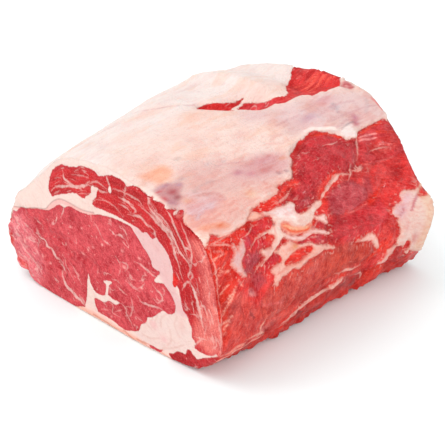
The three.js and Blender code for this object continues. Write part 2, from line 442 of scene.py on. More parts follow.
# The seams of fat in the eye, by half width, and its larger flecks.
EYE_SEAMS = {
    1.3: [[(-42, 20), (-40, 16), (-37, 13), (-32, 11), (-28, 9), (-24, 7.5), (-20, 5)]],
    0.9: [
        [(-66, 42), (-65, 40), (-64, 38), (-59, 37.5), (-56, 36), (-53, 34), (-50, 32), (-46, 30),
         (-41, 28.5)],
        [(-44, 27), (-42, 24.5), (-39, 22.5)], [(1, 32), (2, 28), (1, 24)]],
    0.7: [
        [(30, 34), (32, 32), (36, 32), (42, 33), (48, 34), (51, 33.5)], [(-1, 61.5), (1, 61), (4, 61)],
        [(28, 58), (32, 58), (35, 57), (39, 56), (42, 55), (46, 55)], [(-46, 62), (-46, 57)],
        [(6, 70.5), (9, 69)], [(11, 70), (14, 71), (17, 70)]],
    0.6: [
        [(-38, 71), (-39, 67), (-41, 63)], [(-67, 49.5), (-65, 48.5), (-62, 48)],
        [(16, 77), (18, 75), (20, 72)],
        [(-84, 27), (-81, 26), (-79, 24), (-77, 21), (-75, 18), (-71, 16.5), (-68, 14), (-63, 12)],
        [(32, 47), (35, 49)],
        [(43, 48), (45, 46), (48, 45), (50, 43), (50, 41), (48, 38), (46, 37), (44, 38)]],
    0.5: [
        [(-84, 15.5), (-79, 16), (-78, 15), (-75, 14)], [(-29, 28), (-27, 26), (-25, 24), (-23, 22)],
        [(12, 34), (16, 32.5), (19, 32)], [(11, 54), (13, 52.5), (14, 51)],
        [(15, 53), (19, 53.5), (21, 52), (19, 49)],
        [(13, 23), (17, 22), (19, 20), (19, 17), (22, 14), (24, 10)], [(22, 48), (23, 45), (26, 45)],
        [(-24, 11), (-19, 7)]],
    0.4: [
        [(-9, 70), (-5, 66), (-2, 62)], [(14, 47), (13, 44)], [(22, 47), (25, 46)],
        [(8, 37.5), (11, 38), (14, 37)], [(20, 41), (25, 39), (30, 39)],
        [(-32, 31), (-26, 27), (-24, 23)], [(18, 22), (24, 24), (23, 18), (19, 16)],
        [(24, 30), (25, 25), (26, 23)], [(3, 19), (7, 18), (6, 13), (9, 12), (12, 12)],
        [(-3, 11), (1, 12)], [(10, 15), (14, 18)], [(21, 43), (23, 41), (26, 40), (29, 40)],
        [(32, 47), (34, 51), (36, 52)], [(30, 41), (33, 43), (35, 46)], [(29, 19), (33, 18)],
        [(-40, 34), (-36, 27), (-31, 22)]],
}
EYE_FLECKS = {
    (-19, 45): 1.5, (-15, 49): 1.1, (-14, 51): 0.8, (-10, 53): 1.0, (-2, 58): 1.0, (-31, 59): 1.1,
    (-21, 62): 0.9, (16, 61): 1.2, (31, 62): 1.2, (33, 42): 1.1, (36, 53): 1.0, (39, 62): 0.8,
    (5, 9): 0.9, (10, 21): 1.0, (26, 12): 0.9, (-52, 24): 1.0, (-60, 26): 1.3, (-70, 34): 1.4,
    (-78, 30): 1.2, (18, 50.5): 1.3,
}
for centre, size in EYE_FLECKS.items():
    near_cut.spot(cut_lean, "EFB4AE", centre, (size, size * 0.8), 0.85)

# Marks on the lean: a pale patch and a dark spot in the eye, its bright rim, the red bands at its end, and
# the pale threads of the flap.
near_cut.spot(cut_lean, "D99093", (-87, 31), (2.5, 4.5), 0.8)
near_cut.spot(cut_lean, "8E1620", (-37, 21), (1.0, 1.8), 0.8)
near_cut.tint(cut_lean, "D61E14", [(59, 63), (58, 57), (60, 53), (62, 54), (63, 60), (61, 63)], 0.8)
near_cut.strokes(cut_lean, "D23A2C", 1.6, [
    [(-93, 28), (-90, 18), (-84, 11), (-76, 6)], [(-98, 40), (-96, 30), (-92, 20)]], 0.6)
near_cut.stroke(cut_lean, "E39A84", 0.8, [(80, 1.5), (90, 2), (99, 3), (105, 6)], 0.8)
near_cut.stroke(cut_lean, "EBA090", 0.9, [(76, 0), (84, 5), (92, 11), (100, 17)], 0.85)

# Marks on the fat: the veins and blushes beside the eye, and the rosy, streaked lower rim.
near_cut.tint(cut_fat, "E0C6BF", [
    (28, 5), (34, 16), (42, 24), (52, 33), (62, 36), (72, 30), (74, 18), (64, 10), (44, 4)], 3)
near_cut.strokes(cut_fat, "D3A79C", 0.6, [
    [(42, 24), (40, 20), (44, 17)], [(54, 33), (49, 27), (49, 21)],
    [(50, 6), (57, 9), (62, 12), (67, 16)], [(36, 18), (41, 16)], [(62, 34), (60, 27), (64, 20)],
    [(46, 28), (44, 23)], [(33, 9), (40, 9), (47, 12)], [(56, 22), (57, 15), (54, 10)]], 0.4)
near_cut.strokes(cut_fat, "D98872", 0.4, [
    [(-16, 1.2), (-6, 2.6), (6, 2), (16, 3)], [(20, 1.5), (30, 2.6), (40, 1.6)], [(-24, 3.2), (-12, 1.8)],
    [(34, 4), (48, 2.5), (56, 1)]], 0.75)
near_cut.spot(cut_fat, "E0A9A8", (43, 20), (3, 3), 0.7)
near_cut.spot(cut_fat, "E0A9A8", (51, 13), (3, 2.5), 0.6)
near_cut.spot(cut_fat, "DCA79F", (66, 30), (3, 5), 0.4)
near_cut.tint(cut_fat, "E8AE9C", [
    (-30, 3), (-8, 5), (12, 3.5), (30, 4), (34, 0), (0, -4), (-36, -2)], 1.5, 0.8)
near_cut.strokes(cut_fat, "C98068", 0.5, [
    [(-12, 3), (0, 2.5), (10, 1)], [(16, 4), (20, 3), (25, 1)], [(28, 3), (36, 3)]], 0.7)

# The seams of the cap, by half width.
CAP_SEAMS = {
    1.2: [[(72, 63), (75, 60), (77, 56), (79, 50), (81, 44), (83, 37)]],
    1.0: [
        [(-51, 79), (-47, 82), (-39, 84), (-32, 87), (-24, 89), (-17, 93), (-11, 95)],
        [(37, 107), (39, 104), (38, 101)], [(59, 83), (60, 79), (61.5, 75)],
        [(14, 96), (19, 96), (24, 95.5)]],
    0.9: [
        [(38, 106.5), (38, 101.5), (40.5, 98.5), (46, 95.5), (51, 92.5), (56, 90.5), (59, 88), (61.5, 84),
         (65, 79.5), (69, 77), (72, 74.5), (73.5, 69)],
        [(31, 97), (37, 96), (43, 93.5), (49, 90.5), (54, 88), (57.5, 85), (59, 81), (60, 77), (62.5, 73),
         (64.5, 68), (66, 64)]],
    0.8: [
        [(-39, 94), (-38, 90), (-34, 89), (-30, 89)],
        [(22, 88), (25, 88.5), (29.5, 90), (33.5, 89), (37, 87), (40, 87), (44, 86)],
        [(43.5, 86), (44.5, 81)], [(73, 64), (69, 60), (67, 56)], [(68, 84), (71.5, 85), (74, 84)]],
    0.7: [
        [(-7, 95), (-4, 94), (1, 95)], [(2, 107), (3, 103), (5, 100)], [(21.5, 94.5), (27, 93), (25, 90)],
        [(65.5, 99), (68.5, 95), (70.5, 91.5), (73, 87), (74.5, 82), (74, 76.5), (73, 71)],
        [(45, 105.5), (52, 104), (57, 100.5), (60, 95.5), (63, 91), (66.5, 87), (69, 82.5), (71.5, 79),
         (74, 75)],
        [(73, 64), (75, 68), (73, 70), (71.5, 66), (73, 64)],
        [(41.5, 96.5), (45, 94.5), (50, 91.5), (54, 89), (57, 87)]],
    0.6: [
        [(8, 100), (14, 101), (19, 101), (23.5, 101), (29.5, 100.5), (34.5, 97.5)],
        [(82, 80), (84.5, 85), (86, 87)], [(13.5, 91.5), (19, 91.5), (22.5, 90)],
        [(40, 103), (45, 99), (50, 97), (55, 94), (58, 91)], [(80, 49), (84, 51), (85, 49), (87, 46)],
        [(77, 26), (81, 26.5), (78, 22), (76, 19)], [(81, 27), (85, 28)]],
    0.5: [
        [(-17, 93), (-14, 97)], [(19, 107), (18, 102), (17, 98)],
        [(67, 45), (69, 44.5), (71, 44), (69, 42), (67, 44)], [(94, 60), (96, 45), (98, 34), (97, 24)],
        [(-15, 95), (-10, 98), (-6, 99), (1, 98)], [(74, 41), (77, 42), (80, 40)]],
    0.4: [
        [(-7, 87), (-1, 89), (5, 89), (11, 87), (15, 85)], [(-27, 99), (-24, 102)],
        [(-29, 96), (-21, 98), (-16, 99)], [(-46, 88), (-42, 89)], [(-23, 85), (-18, 87), (-15, 88)],
        [(79, 79), (83, 82), (85, 85)], [(89, 64), (88, 58)], [(92, 55), (93, 51)], [(94, 55), (94, 51)],
        [(91, 46), (91, 43)], [(89, 45), (89, 39)], [(84, 30), (86, 38)], [(86, 72), (88, 66)],
        [(78, 66), (80, 58)]],
}
near_cut.seams(EYE_SEAMS)
near_cut.seams(CAP_SEAMS)

# The grain runs down across the eye and bends along the cap. Flecks are thickest at the eye's end and band.
across, up = near_cut.places.T
near_cut.fibres(np.ones(len(up)), -35, 1.5)
near_cut.fibres(smooth(-40, -60, across), -40, 2.6)
CAP_RUN = smooth_run([
    (-50, 84), (-28, 94), (0, 98), (25, 99), (45, 92), (60, 82), (72, 66), (80, 45), (86, 24), (88, 10)])
in_cap = cap > 0
_, cap_offset, cap_along, _ = nearest(CAP_RUN, near_cut.places)
near_cut.grain[in_cap] = np.stack([cap_along * 0.2, cap_offset, np.full(len(up), 50.0)], axis=1)[in_cap]
eye_end = smooth(-58, -74, across) * smooth(52, 44, up)
cap_band = smooth(72, 80, across) * smooth(96, 70, up)
near_cut.fleck = 0.1 + 0.7 * eye_end + 0.1 * smooth(0, 3, cap) + 0.4 * cap_band


# ---------------------------------------------------------------------------------------------------------
# The far cut. It shows the same muscles a few steaks further on, so they lie at the same places across the
# joint, a little drawn in and shifted, with one more muscle open at the crest.
far_side = facing[:, 1] > 0.6
drift = 5 * np.stack([lumps(skin[:, [0, 2]], 38, seed) for seed in (1, 2)], axis=1)
far_places = (skin[:, [0, 2]] - (4, 4)) * (0.97, 1.0) + (4, 2) + drift
far_cut = Chart(far_side, far_places)
far_cut.muscle(EYE)
far_cut.muscle(CAP)
far_cut.muscle(FLAP)
FAR_CREST = [(26, 122), (6, 127), (-18, 124), (-20, 113), (-6, 110), (10, 111), (22, 114)]
far_cut.muscle(FAR_CREST)
far_cut.tint(far_cut.lean_tint, CAP_RED, CAP)
far_cut.tint(far_cut.lean_tint, "D4302F", FAR_CREST, 1)
far_cut.seams(EYE_SEAMS, 1.1, (0.96, 1.02), (3, -1))
far_cut.seams(CAP_SEAMS, 1.1, (0.96, 1.02), (3, -1))
far_cut.grain = np.stack([*far_cut.places.T, np.full(len(far_cut.places), 90.0)], axis=1)
far_cut.fleck = np.full(len(far_cut.places), 0.4)


# ---------------------------------------------------------------------------------------------------------
# The skin round the joint: the bare lean lip side, the fat cap over the back, and the chine side. A place
# on its chart is (along the loin from the middle, round the outline from the lip side over the back).
HEART = np.array((10.0, 45.0))
CHART_CUT = -2.6
LIP_RED, ORANGE_RED, BROWN_RED = "D42C2A", "E83822", "CC443A"


def round_table():
    """Length of the outline at the middle of the joint, from the lip side's middle, against direction."""
    turn = np.linspace(-math.pi, math.pi, 361)
    reach = []
    for angle in turn:
        aim = Vector((math.cos(angle), 0, math.sin(angle)))
        start = Vector((HEART[0], 0, HEART[1])) * MM
        reach.append((smooth_skin.ray_cast(start, aim)[0] - start).length / MM)
    rim = np.stack([np.cos(turn), np.sin(turn)], axis=1) * np.array(reach)[:, None]
    length = np.concatenate([[0], np.cumsum(np.linalg.norm(np.diff(rim, axis=0), axis=1))])
    return turn, length - np.interp(0, turn, length)


# Places are measured round the heart of the joint. The chart is cut where the sole meets the chine side.
turns, lengths = round_table()
outline_length = lengths[-1] - lengths[0]
turn = np.arctan2(z - HEART[1], x - HEART[0])
round_mm = np.interp(turn, turns, lengths)
round_mm[turn < CHART_CUT] += outline_length
skin_side = ~near_side & ~far_side
wrap = Chart(skin_side, np.stack([y, round_mm], axis=1), lean=LIP_RED)
lean, fat = wrap.lean_tint, wrap.fat_tint

# The bare lean of the lip side, with the fat of the tail at its far end.
LIP_LEAN = [
    (-100, 50), (-77, 50), (-64, 51), (-57, 52.5), (-53, 55), (-51, 57.5), (-44, 58), (-38, 58),
    (-29, 59), (-25, 60.5), (-25, 63), (-16, 64), (-10, 64), (-4, 71), (1, 75), (3, 79), (9, 83),
    (14, 85), (20, 87), (24, 87), (30, 88.5), (34, 88), (37, 85), (41, 82), (45, 79), (46, 75), (49, 71),
    (53, 70), (58, 69), (64, 73), (70, 74), (78, 74), (84, 74), (90, 74), (93, 71), (102, 70), (108, -62),
    (60, -70), (0, -70), (-60, -70), (-108, -64),
]
wrap.muscle(LIP_LEAN)
TAIL_FAT = [
    (108, 19), (93, 18), (84, 18), (77, 20), (72, 19), (72, 16), (69, 15), (64, 14), (62, 11), (64, 8),
    (66, 7), (66, 3), (67, -2), (67, -5), (65, -8), (65, -13), (70, -14), (74, -19), (78, -23), (81, -21),
    (88, -26), (108, -32),
]
wrap.fat_piece(TAIL_FAT, 0.97, "DFC2B8")
wrap.tint(fat, "DCB6B8", [(62, 14), (72, 19), (80, 17), (76, 12), (70, 6), (64, 6)], 3)
wrap.tint(fat, "E0BEA6", [(86, 16), (100, 16), (100, -24), (84, -20), (88, -4)], 3, 0.8)
wrap.stroke(fat, "B8727C", 0.6, [(67, 8), (70, 10), (71, 12)], 0.7)
wrap.spot(fat, "C98A84", (80, -10), (3, 4), 0.8)
wrap.spot(fat, "D59A96", (72, 0), (2, 5), 0.6)
wrap.stroke(fat, "C06A74", 0.8, [(76, 9), (80, 13), (84, 15)], 0.8)
wrap.muscle([(84, 15), (89, 17), (95, 17), (94, 13), (88, 13)])
wrap.muscle([(72, -18), (72, -12), (75, -11), (78, -14), (78, -22)])

# The rim of the near cut, where the fat is ragged and lean looks out between its tongues.
wrap.fat_piece([(-97, 62), (-89, 61), (-86, 57), (-87, 53), (-91, 50), (-97, 49)], 0.98, "EFDBCE")
wrap.muscle([
    (-100, 118), (-93.8, 114), (-92.4, 107), (-93.2, 102), (-91.2, 99.5), (-93, 97), (-91.6, 93.5),
    (-91.2, 90), (-92.6, 87), (-92, 84), (-92.6, 81), (-91.8, 77), (-92.6, 72), (-93.4, 66), (-94, 62),
    (-100, 62)])
wrap.tint(lean, "C23038", [
    (-100, 118), (-91, 118), (-89, 100), (-84, 84), (-84, 76), (-90, 62), (-100, 62)], 2)
wrap.muscle([(-98, 85), (-91, 86), (-88.5, 84.5), (-87, 82.5), (-90.5, 81.6), (-92, 80), (-98, 79)])
wrap.muscle([
    (-98, 78), (-92, 79.5), (-86.5, 81.5), (-84.5, 80), (-87, 77), (-89, 74.5), (-91.5, 70), (-92.5, 66),
    (-98, 66)])
wrap.muscle([(-93, 50), (-88, 52), (-82, 52.5), (-80, 51.5), (-86, 50.5)])

# The pieces of fat left on the lean: outline, how much of the lean they hide, and colour.
ISLAND = [
    (-51, 53), (-47.5, 52), (-44.5, 52), (-40.5, 50.5), (-35.5, 51), (-27, 50), (-23, 50), (-20.5, 47.5),
    (-22, 45.5), (-21.5, 43), (-18.5, 41), (-15.5, 40), (-12, 40.5), (-8, 41.5), (-4.5, 42.5), (-1, 43),
    (1.5, 41.5), (0, 40), (-3.5, 39), (-6.5, 37.5), (-8, 35), (-11.5, 33), (-16.5, 32), (-21, 33),
    (-25, 35), (-28, 37.5), (-31, 40.5), (-34, 41.5), (-35.5, 40), (-36, 37.5), (-34, 34.5), (-33, 33),
    (-36, 32.5), (-39, 31), (-41.5, 29), (-43.5, 27.5), (-45.5, 26), (-49, 24.5), (-52.5, 23),
    (-54.5, 21), (-55.5, 21.5), (-53, 24), (-51, 25.5), (-53, 28), (-53, 31), (-50.5, 30), (-45.5, 29.5),
    (-44, 31.5), (-41.5, 34.5), (-42, 36.5), (-46, 39), (-47, 40), (-50.5, 40), (-54, 39.5), (-50, 40.5),
    (-46.5, 40.5), (-42, 41.5), (-39, 43), (-40.5, 45), (-40.5, 47.5), (-42, 49), (-45.5, 50.5),
    (-50, 51), (-52, 52),
]
wrap.fat_piece(ISLAND, 0.96, "E5CBC0")
LIP_FAT = {
    "peach crescent": ([
        (-35, 41), (-31.5, 40.5), (-29.5, 39), (-28, 37), (-25.5, 34.5), (-21, 33), (-17, 32),
        (-13, 31.5), (-11.5, 32.5), (-10, 30.5), (-14, 28.5), (-17, 28.5), (-21.5, 29.5), (-26.5, 31),
        (-30.5, 33), (-33.5, 36), (-35.5, 38.5)], 0.94, "E2633F"),
    "peach rim": ([
        (-56, 53), (-52.5, 54.5), (-50, 54.5), (-48, 52.5), (-46, 50), (-49.5, 50), (-52, 50),
        (-54, 51)], 0.88, "E8B6A2"),
    "under the crescent": ([
        (-34, 33), (-32.5, 32.5), (-29, 30.5), (-25.5, 29), (-22, 28), (-17.5, 27.5), (-10, 27.5),
        (-5.5, 25.5), (-0.5, 23), (5, 19.5), (5, 18.5), (-1, 21), (-5.5, 23.5), (-9.5, 25), (-16, 25),
        (-19, 24.5), (-23.5, 25.5), (-28, 27.5), (-31.5, 29.5), (-33.5, 31)], 0.94, "E4BEBC"),
    "hook": ([
        (-42.5, 25.5), (-39, 26.5), (-36.5, 27.5), (-33, 28), (-28.5, 26), (-24, 23), (-19.5, 21),
        (-15.5, 20), (-12.5, 19), (-10.5, 17.5), (-7, 15.5), (-0.5, 13), (7.5, 9), (9, 7), (4.5, 8.5),
        (-1.5, 10.5), (-5.5, 10.5), (-8.5, 10), (-12.5, 10), (-16, 10), (-18.5, 8.5), (-22, 8.5),
        (-24.5, 7.5), (-30.5, 10), (-34, 9), (-37, 8.5), (-40.5, 8.5), (-43.5, 6.5), (-44.5, 4.5),
        (-46, 5), (-47, 7), (-46, 9.5), (-46.5, 12), (-48, 14.5), (-48, 16), (-45.5, 16.5), (-42.5, 17),
        (-39.5, 17.5), (-38.5, 19.5), (-39, 22), (-41.5, 24)], 0.93, "E6B4A6"),
    "by the column": ([
        (-73, 43), (-72, 38.5), (-71, 37.5), (-69.5, 40), (-66.5, 43), (-66.5, 39), (-66, 36),
        (-68.5, 34.5), (-70.5, 32), (-71.5, 29), (-70, 25), (-68.5, 22), (-67.5, 20), (-70, 21),
        (-72.5, 24), (-74.5, 26), (-75, 28), (-77, 30.5), (-77.5, 33), (-75.5, 35.5), (-74, 38),
        (-74, 40.5), (-74.5, 42)], 0.88, "D8B4B2"),
    "bracket": ([
        (29.5, 3.4), (34, 3.8), (39, 4), (43.4, 3.6), (46, 0.4), (47.4, -2.6), (48.6, -6), (48.6, -8.6),
        (46.2, -6), (43.6, -2.4), (42, -0.4), (37.6, 1.2), (33, 2.2)], 0.9, "E9C0B4"),
    "rib end": ([
        (14, 50), (18.5, 52), (23, 51.5), (21, 50), (17, 49), (13, 48), (8.5, 46),
        (7.5, 47.5)], 0.93, "EBC9C0"),
    "flower": ([
        (-8, 35.5), (-4, 33.5), (-1, 33.5), (2, 32), (4, 29.5), (1.5, 30), (5, 26), (4.5, 25.5),
        (-0.5, 29), (-4, 31.5), (-5.5, 33), (-8, 34.5)], 0.92, "F0DCD6"),
    "far foot": ([
        (51.5, -21.5), (56, -19), (57, -16), (59.5, -13.5), (65, -12.5), (62.5, -16.5), (59.5, -19.5),
        (57, -23), (52.5, -23)], 0.92, "DCAAA2"),
    "hem": ([(7, -21.5), (12, -21), (18, -19.5), (17, -22.5), (10, -24.5)], 0.88, "E8BCAE"),
}
for outline, opacity, colour in LIP_FAT.values():
    wrap.fat_piece(outline, opacity, colour)

# Orange, peach and rose in those pieces, and the lean that shows through the hook.
wrap.spot(fat, "DC8A5E", (-26.5, 23), (3, 1.6), 0.8)
wrap.tint(fat, "E09C8E", [(-76, -14), (-46, -12), (-44, -38), (-76, -38)], 2, 0.8)
wrap.tint(fat, "F4E6E0", [(-38, 48), (-30, 49), (-24, 46), (-20, 40), (-26, 40), (-34, 44)], 2.5, 0.8)
wrap.stroke(fat, "F2C49E", 0.9, [(-33, 39), (-28, 35.5), (-21, 32.5), (-15, 31.5)], 0.8)
wrap.stroke(fat, "D8786A", 0.7, [(-44, 12), (-36, 13), (-26, 12.5), (-16, 13)], 0.6)
wrap.stroke(fat, "D8786A", 0.6, [(-48, 50), (-43, 44), (-42, 37), (-47, 30)], 0.5)
wrap.tint(fat, "DCA49C", [(-58, 20), (-50, 24), (-42, 33), (-46, 33), (-56, 26)], 2, 0.7)
wrap.tint(fat, "DEC4C6", [(-46, 51), (-36, 52), (-24, 50), (-18, 43), (-24, 43), (-34, 45)], 2.5, 0.5)
IN_THE_HOOK = [
    (-37.5, 14.5), (-37, 17.5), (-33, 18.8), (-29, 20.2), (-25, 20.8), (-19.5, 20), (-15.5, 19.2),
    (-12, 17.8), (-11.3, 15.5), (-13.5, 13.6), (-17, 13), (-20.5, 12), (-24, 11.3), (-28, 11.6),
    (-33, 12.8), (-36.5, 13.4),
]
wrap.muscle(IN_THE_HOOK)
wrap.spot(fat, "E09468", (-28, 24), (3.5, 2), 0.8)

# The seams between the muscles of the lip side, by half width.
LIP_SEAMS = {
    1.4: [[(-34, -33), (-24, -27), (-14, -24), (-4, -23), (11, -23)]],
    1.0: [
        [(-96, -47), (-94.5, -38), (-92.5, -29.5), (-85.5, -28.5), (-78.5, -27.5), (-67.5, -29.5),
         (-58, -29), (-50, -33)],
        [(2, 43), (5, 45), (9, 47)], [(6, -22), (-3.5, -22), (-14.5, -22.5), (-18, -23)]],
    0.95: [
        [(-56, -26), (-57.5, -22), (-57, -19), (-53.5, -17)],
        [(-69, -23), (-61, -24), (-55, -26.5), (-50, -30)]],
    0.8: [
        [(-66, -29), (-59, -30.5), (-52, -31.5)], [(33, -24), (38, -25), (39, -31)],
        [(12, -13), (19, -14), (27, -16), (33, -16)]],
    0.65: [
        [(23, 51.5), (28.5, 50), (32, 48)], [(36.5, 54), (35, 50.5), (33, 48), (31, 45.5)],
        [(-89, 49), (-84, 47), (-80, 45.5), (-76, 43.5), (-73.5, 41.5)],
        [(41, 53), (42, 48.5), (44, 49), (47.5, 49.5)],
        [(35, 50.5), (38.5, 48.5), (42.5, 47.5), (46.5, 48)], [(47, 55), (51, 59), (55, 64), (60, 70)],
        [(-18, -23), (-20, -25), (-25.5, -25), (-32, -28.5), (-35.5, -30), (-37, -34)]],
    0.45: [
        [(-90, 48), (-91, 41), (-90, 33), (-91, 22), (-91, 12)],
        [(-90, 10), (-91, 2), (-93, -7), (-93, -21)]],
    0.5: [
        [(-90, 49.5), (-83.5, 49), (-79, 49), (-73, 49.5), (-66, 50.5), (-58, 52)],
        [(-62, 36), (-57.5, 39), (-54.5, 40.5), (-51, 41), (-48, 40.5)],
        [(-55.5, 47.5), (-60.5, 44.5), (-64, 44)], [(-19.5, 56), (-25, 54.5), (-30, 53.5), (-35, 53.5)],
        [(-4, 33.5), (-5, 30.5), (-7, 29), (-9.5, 27)], [(62, 55), (72, 54), (79, 52)],
        [(-60, 19), (-57, 22), (-53, 24)], [(-34, 55), (-30, 53), (-24, 54), (-17, 57)],
        [(29, 74), (34, 72.5), (39, 72.5)]],
}
wrap.seams(LIP_SEAMS)

# The lobes of muscle, each with its own red.
LOWER_BAND = [
    (-90, 6), (-76, 12), (-60, -4), (-47, 3), (-29, 8), (-8, 8), (10, 6), (30, 2), (46, -6), (30, -22),
    (-20, -28), (-60, -28), (-95, -24),
]
UPPER_LEAN = [
    (21, 85), (32, 87), (44, 81), (54, 70), (55, 64), (47, 57), (40, 52), (28, 51), (18, 51), (9, 48),
    (-2, 44), (-13, 43), (-25, 47), (-30, 54), (-22, 61), (-11, 64), (2, 75),
]
wrap.tint(lean, BROWN_RED, LOWER_BAND, 4)
wrap.tint(lean, "C62A1E", [
    (-95, -20), (-60, -27), (-20, -27), (40, -26), (90, -30), (90, -60), (-95, -60)], 4)
wrap.tint(lean, ORANGE_RED, [(-92, 50), (-74, 50), (-58, 52), (-60, 48), (-76, 46)], 1.5)
LOBES = {
    "upper lean": (UPPER_LEAN, "B8222C"),
    "upper far": ([
        (64, 74), (75, 74), (100, 74), (100, 44), (79, 44), (65, 47), (52, 50), (48, 52), (50, 56),
        (58, 64)], "C93238"),
    "over the plum": ([
        (44, 50), (53, 49), (64, 46), (52, 43), (46, 43), (36, 46), (26, 48), (22, 49)], "C83430"),
    "plum": ([
        (9, 44.5), (15.5, 46), (22, 46), (29, 45.5), (34.5, 43), (39.5, 39), (44, 33), (45, 28),
        (39.5, 26.5), (34.5, 26), (28.5, 25.5), (23, 26.5), (20.5, 25), (14.5, 27.5), (10, 29.5),
        (8.5, 34), (9, 39)], "BA434B"),
    "far": ([
        (58.5, 14), (63, 14), (66, 6.5), (66, 2), (65, -5), (63.5, -10.5), (58.5, -12.5), (53, -10.5),
        (49.5, -3), (49.5, 2.5), (54.5, 6.5)], "CC3632"),
    "middle": ([
        (20.5, 24), (28, 23), (35, 22.5), (42, 22.5), (48, 22), (54, 24), (57, 18), (58.5, 13), (57, 8.5),
        (53, 6), (49.5, 2.5), (46.5, 1), (42.5, 5), (35.5, 5), (29.5, 5), (22, 7), (13, 10.5), (5.5, 14),
        (4.5, 20), (7, 25.5), (12.5, 26)], "CE2E36"),
    "orange band": ([
        (43, 27), (48, 27.5), (54, 29.5), (58.5, 31.5), (64, 33), (59, 28), (54, 25.5), (49.5, 22.5),
        (46, 22.5), (44, 24)], "DC2A18"),
    "strip by the fat": ([
        (-84, 48), (-78.5, 48.5), (-72, 49), (-65, 49.5), (-58, 51), (-54, 50.5), (-52.5, 49.5),
        (-57, 47.5), (-61, 47), (-66, 46), (-67.5, 43.5), (-69, 41), (-71, 39.5), (-72, 42),
        (-74.5, 44.5), (-78.5, 46.5)], "DC2818"),
    "under the strip": ([
        (-51, 48.5), (-46.5, 50), (-42.5, 49.5), (-40, 47.5), (-40, 44.5), (-42.5, 42), (-46, 41.5),
        (-50, 42), (-54, 42), (-57, 41), (-58.5, 45), (-54.5, 47.5)], "C8202C"),
    "left of the neck": ([
        (-61, 36.5), (-57.5, 39), (-54, 40.5), (-49, 40), (-44.5, 38), (-41.5, 35), (-44, 33),
        (-47.5, 31), (-51.5, 31), (-54, 31), (-58, 32), (-61, 33.5)], "C6202C"),
    "plum by the column": ([
        (-69.5, 34.5), (-67, 35), (-64, 35.5), (-62, 33), (-57, 31.5), (-54, 29), (-53.5, 26), (-57, 23),
        (-61, 22.5), (-64, 20.5), (-69, 22), (-71, 27.5), (-71, 31.5)], "B03442"),
    "between": ([
        (-66, 43), (-61.5, 44), (-60.5, 39.5), (-62.5, 36.5), (-65, 36), (-66.5, 39.5)], "B82C40"),
    "in the fork": ([
        (-43, 28), (-40.5, 30.5), (-35, 32.5), (-35, 30), (-38, 28), (-41.5, 26), (-44.5, 26)], "C83030"),
    "under the fork": ([
        (-52, 22), (-48.5, 24.5), (-43.5, 25), (-39, 23.5), (-39.5, 20), (-42.5, 18.5), (-47, 17),
        (-51, 15.5), (-55, 16), (-55, 19.5)], "BF1E2E"),
    "in the hook": (IN_THE_HOOK, "DC2A1A"),
    "right of the fork": ([
        (-23.5, 24.5), (-18, 24), (-12, 24), (-4.5, 21.5), (4, 18.5), (3, 13), (-4, 14.5), (-11.5, 18),
        (-18.5, 21.5)], "BC2638"),
    "by the flower": ([
        (-9, 27.5), (-6, 29.5), (-3, 30), (2, 26.5), (4.5, 24), (4.5, 22), (-2.5, 24.5)], "BE2834"),
    "under the peach": ([
        (-8.5, 36), (-7, 32.5), (-9, 29.5), (-14, 28.5), (-17.5, 28), (-23, 28.5), (-29, 31), (-22, 30.5),
        (-13, 31.5), (-10, 34)], "DA3A1C"),
    "over the island": ([
        (-21.5, 48.5), (-15.5, 47.5), (-10, 47), (-5, 45.5), (-5, 43.5), (-8.5, 42), (-13, 40.5),
        (-17, 41), (-21, 43.5), (-22, 46)], "B8222E"),
    "low plum": ([
        (-64, 19.5), (-61, 21.5), (-58, 17.5), (-55, 16.5), (-53, 11), (-56, 8), (-60, 5.5), (-62.5, 9.5),
        (-63.5, 14)], "BC3640"),
    "brown": ([
        (-44, 8), (-36, 9), (-20, 9.5), (-4, 8), (13, 6), (31, 2), (45, -5), (48, -14), (37, -14),
        (19, -14), (10, -14), (-7, -14), (-23, -16), (-41, -18), (-53, -18), (-57, -7),
        (-53, 1)], "C4463A"),
    "brown by the bracket": ([
        (12.5, -6.5), (19, -1), (26.5, -0.5), (32.5, 1), (39, -1), (42.5, -4), (44.5, -9), (41.5, -11.5),
        (37, -14), (29.5, -13.5), (23, -11)], "BC4840"),
    "orange by the bracket": ([(40, -15.5), (42.5, -11), (45.5, -10.5), (47, -13), (42, -16)], "DC3018"),
    "foot": ([
        (59.5, -21), (61, -17), (65.5, -15), (70, -16.5), (73, -21), (75.5, -22), (79.5, -20.5),
        (84, -24), (80.5, -27), (76, -28), (73, -31), (68.5, -30), (59.5, -23)], "B81A18"),
    "hem, middle": ([
        (17, -16), (25, -17), (34, -18), (38, -23), (34, -25), (25, -23), (19, -21)], "C4342A"),
    "hem, bright": ([
        (41, -30), (45, -26), (51, -25), (56, -24), (62, -27), (58, -38), (48, -40)], "D22C18"),
    "hem, dark": ([
        (17, -23), (21, -21), (28, -25), (36, -30), (38, -38), (33, -37), (21, -28)], "A8221E"),
    "hem, near": ([
        (8.5, -29), (0.5, -26.5), (-7.5, -27), (-12, -29), (-13.5, -33), (-21.5, -27), (-26, -27.5),
        (-28.5, -32), (-27, -39), (-4, -39), (8, -37)], "B4241A"),
    "column, top": ([
        (-91, 30), (-87, 32), (-83.5, 31.5), (-81.5, 35), (-78.5, 37), (-76, 40), (-83, 45),
        (-92, 47)], "DC2A18"),
    "column, second": ([(-88, 23), (-84, 26), (-83, 24), (-87, 20.5), (-89, 19.5)], "E02C14"),
    "column, third": ([
        (-90, 11.5), (-89, 14.5), (-86, 17), (-83, 16.5), (-81.5, 13.5), (-84, 9.5), (-86.5, 8),
        (-89, 7)], "E22E12"),
    "column, low": ([(-90, 3.5), (-86, 4), (-81, 3.5), (-85, 1), (-89, 1)], "CE3024"),
}
for outline, colour in LOBES.values():
    wrap.lobe(outline, colour)
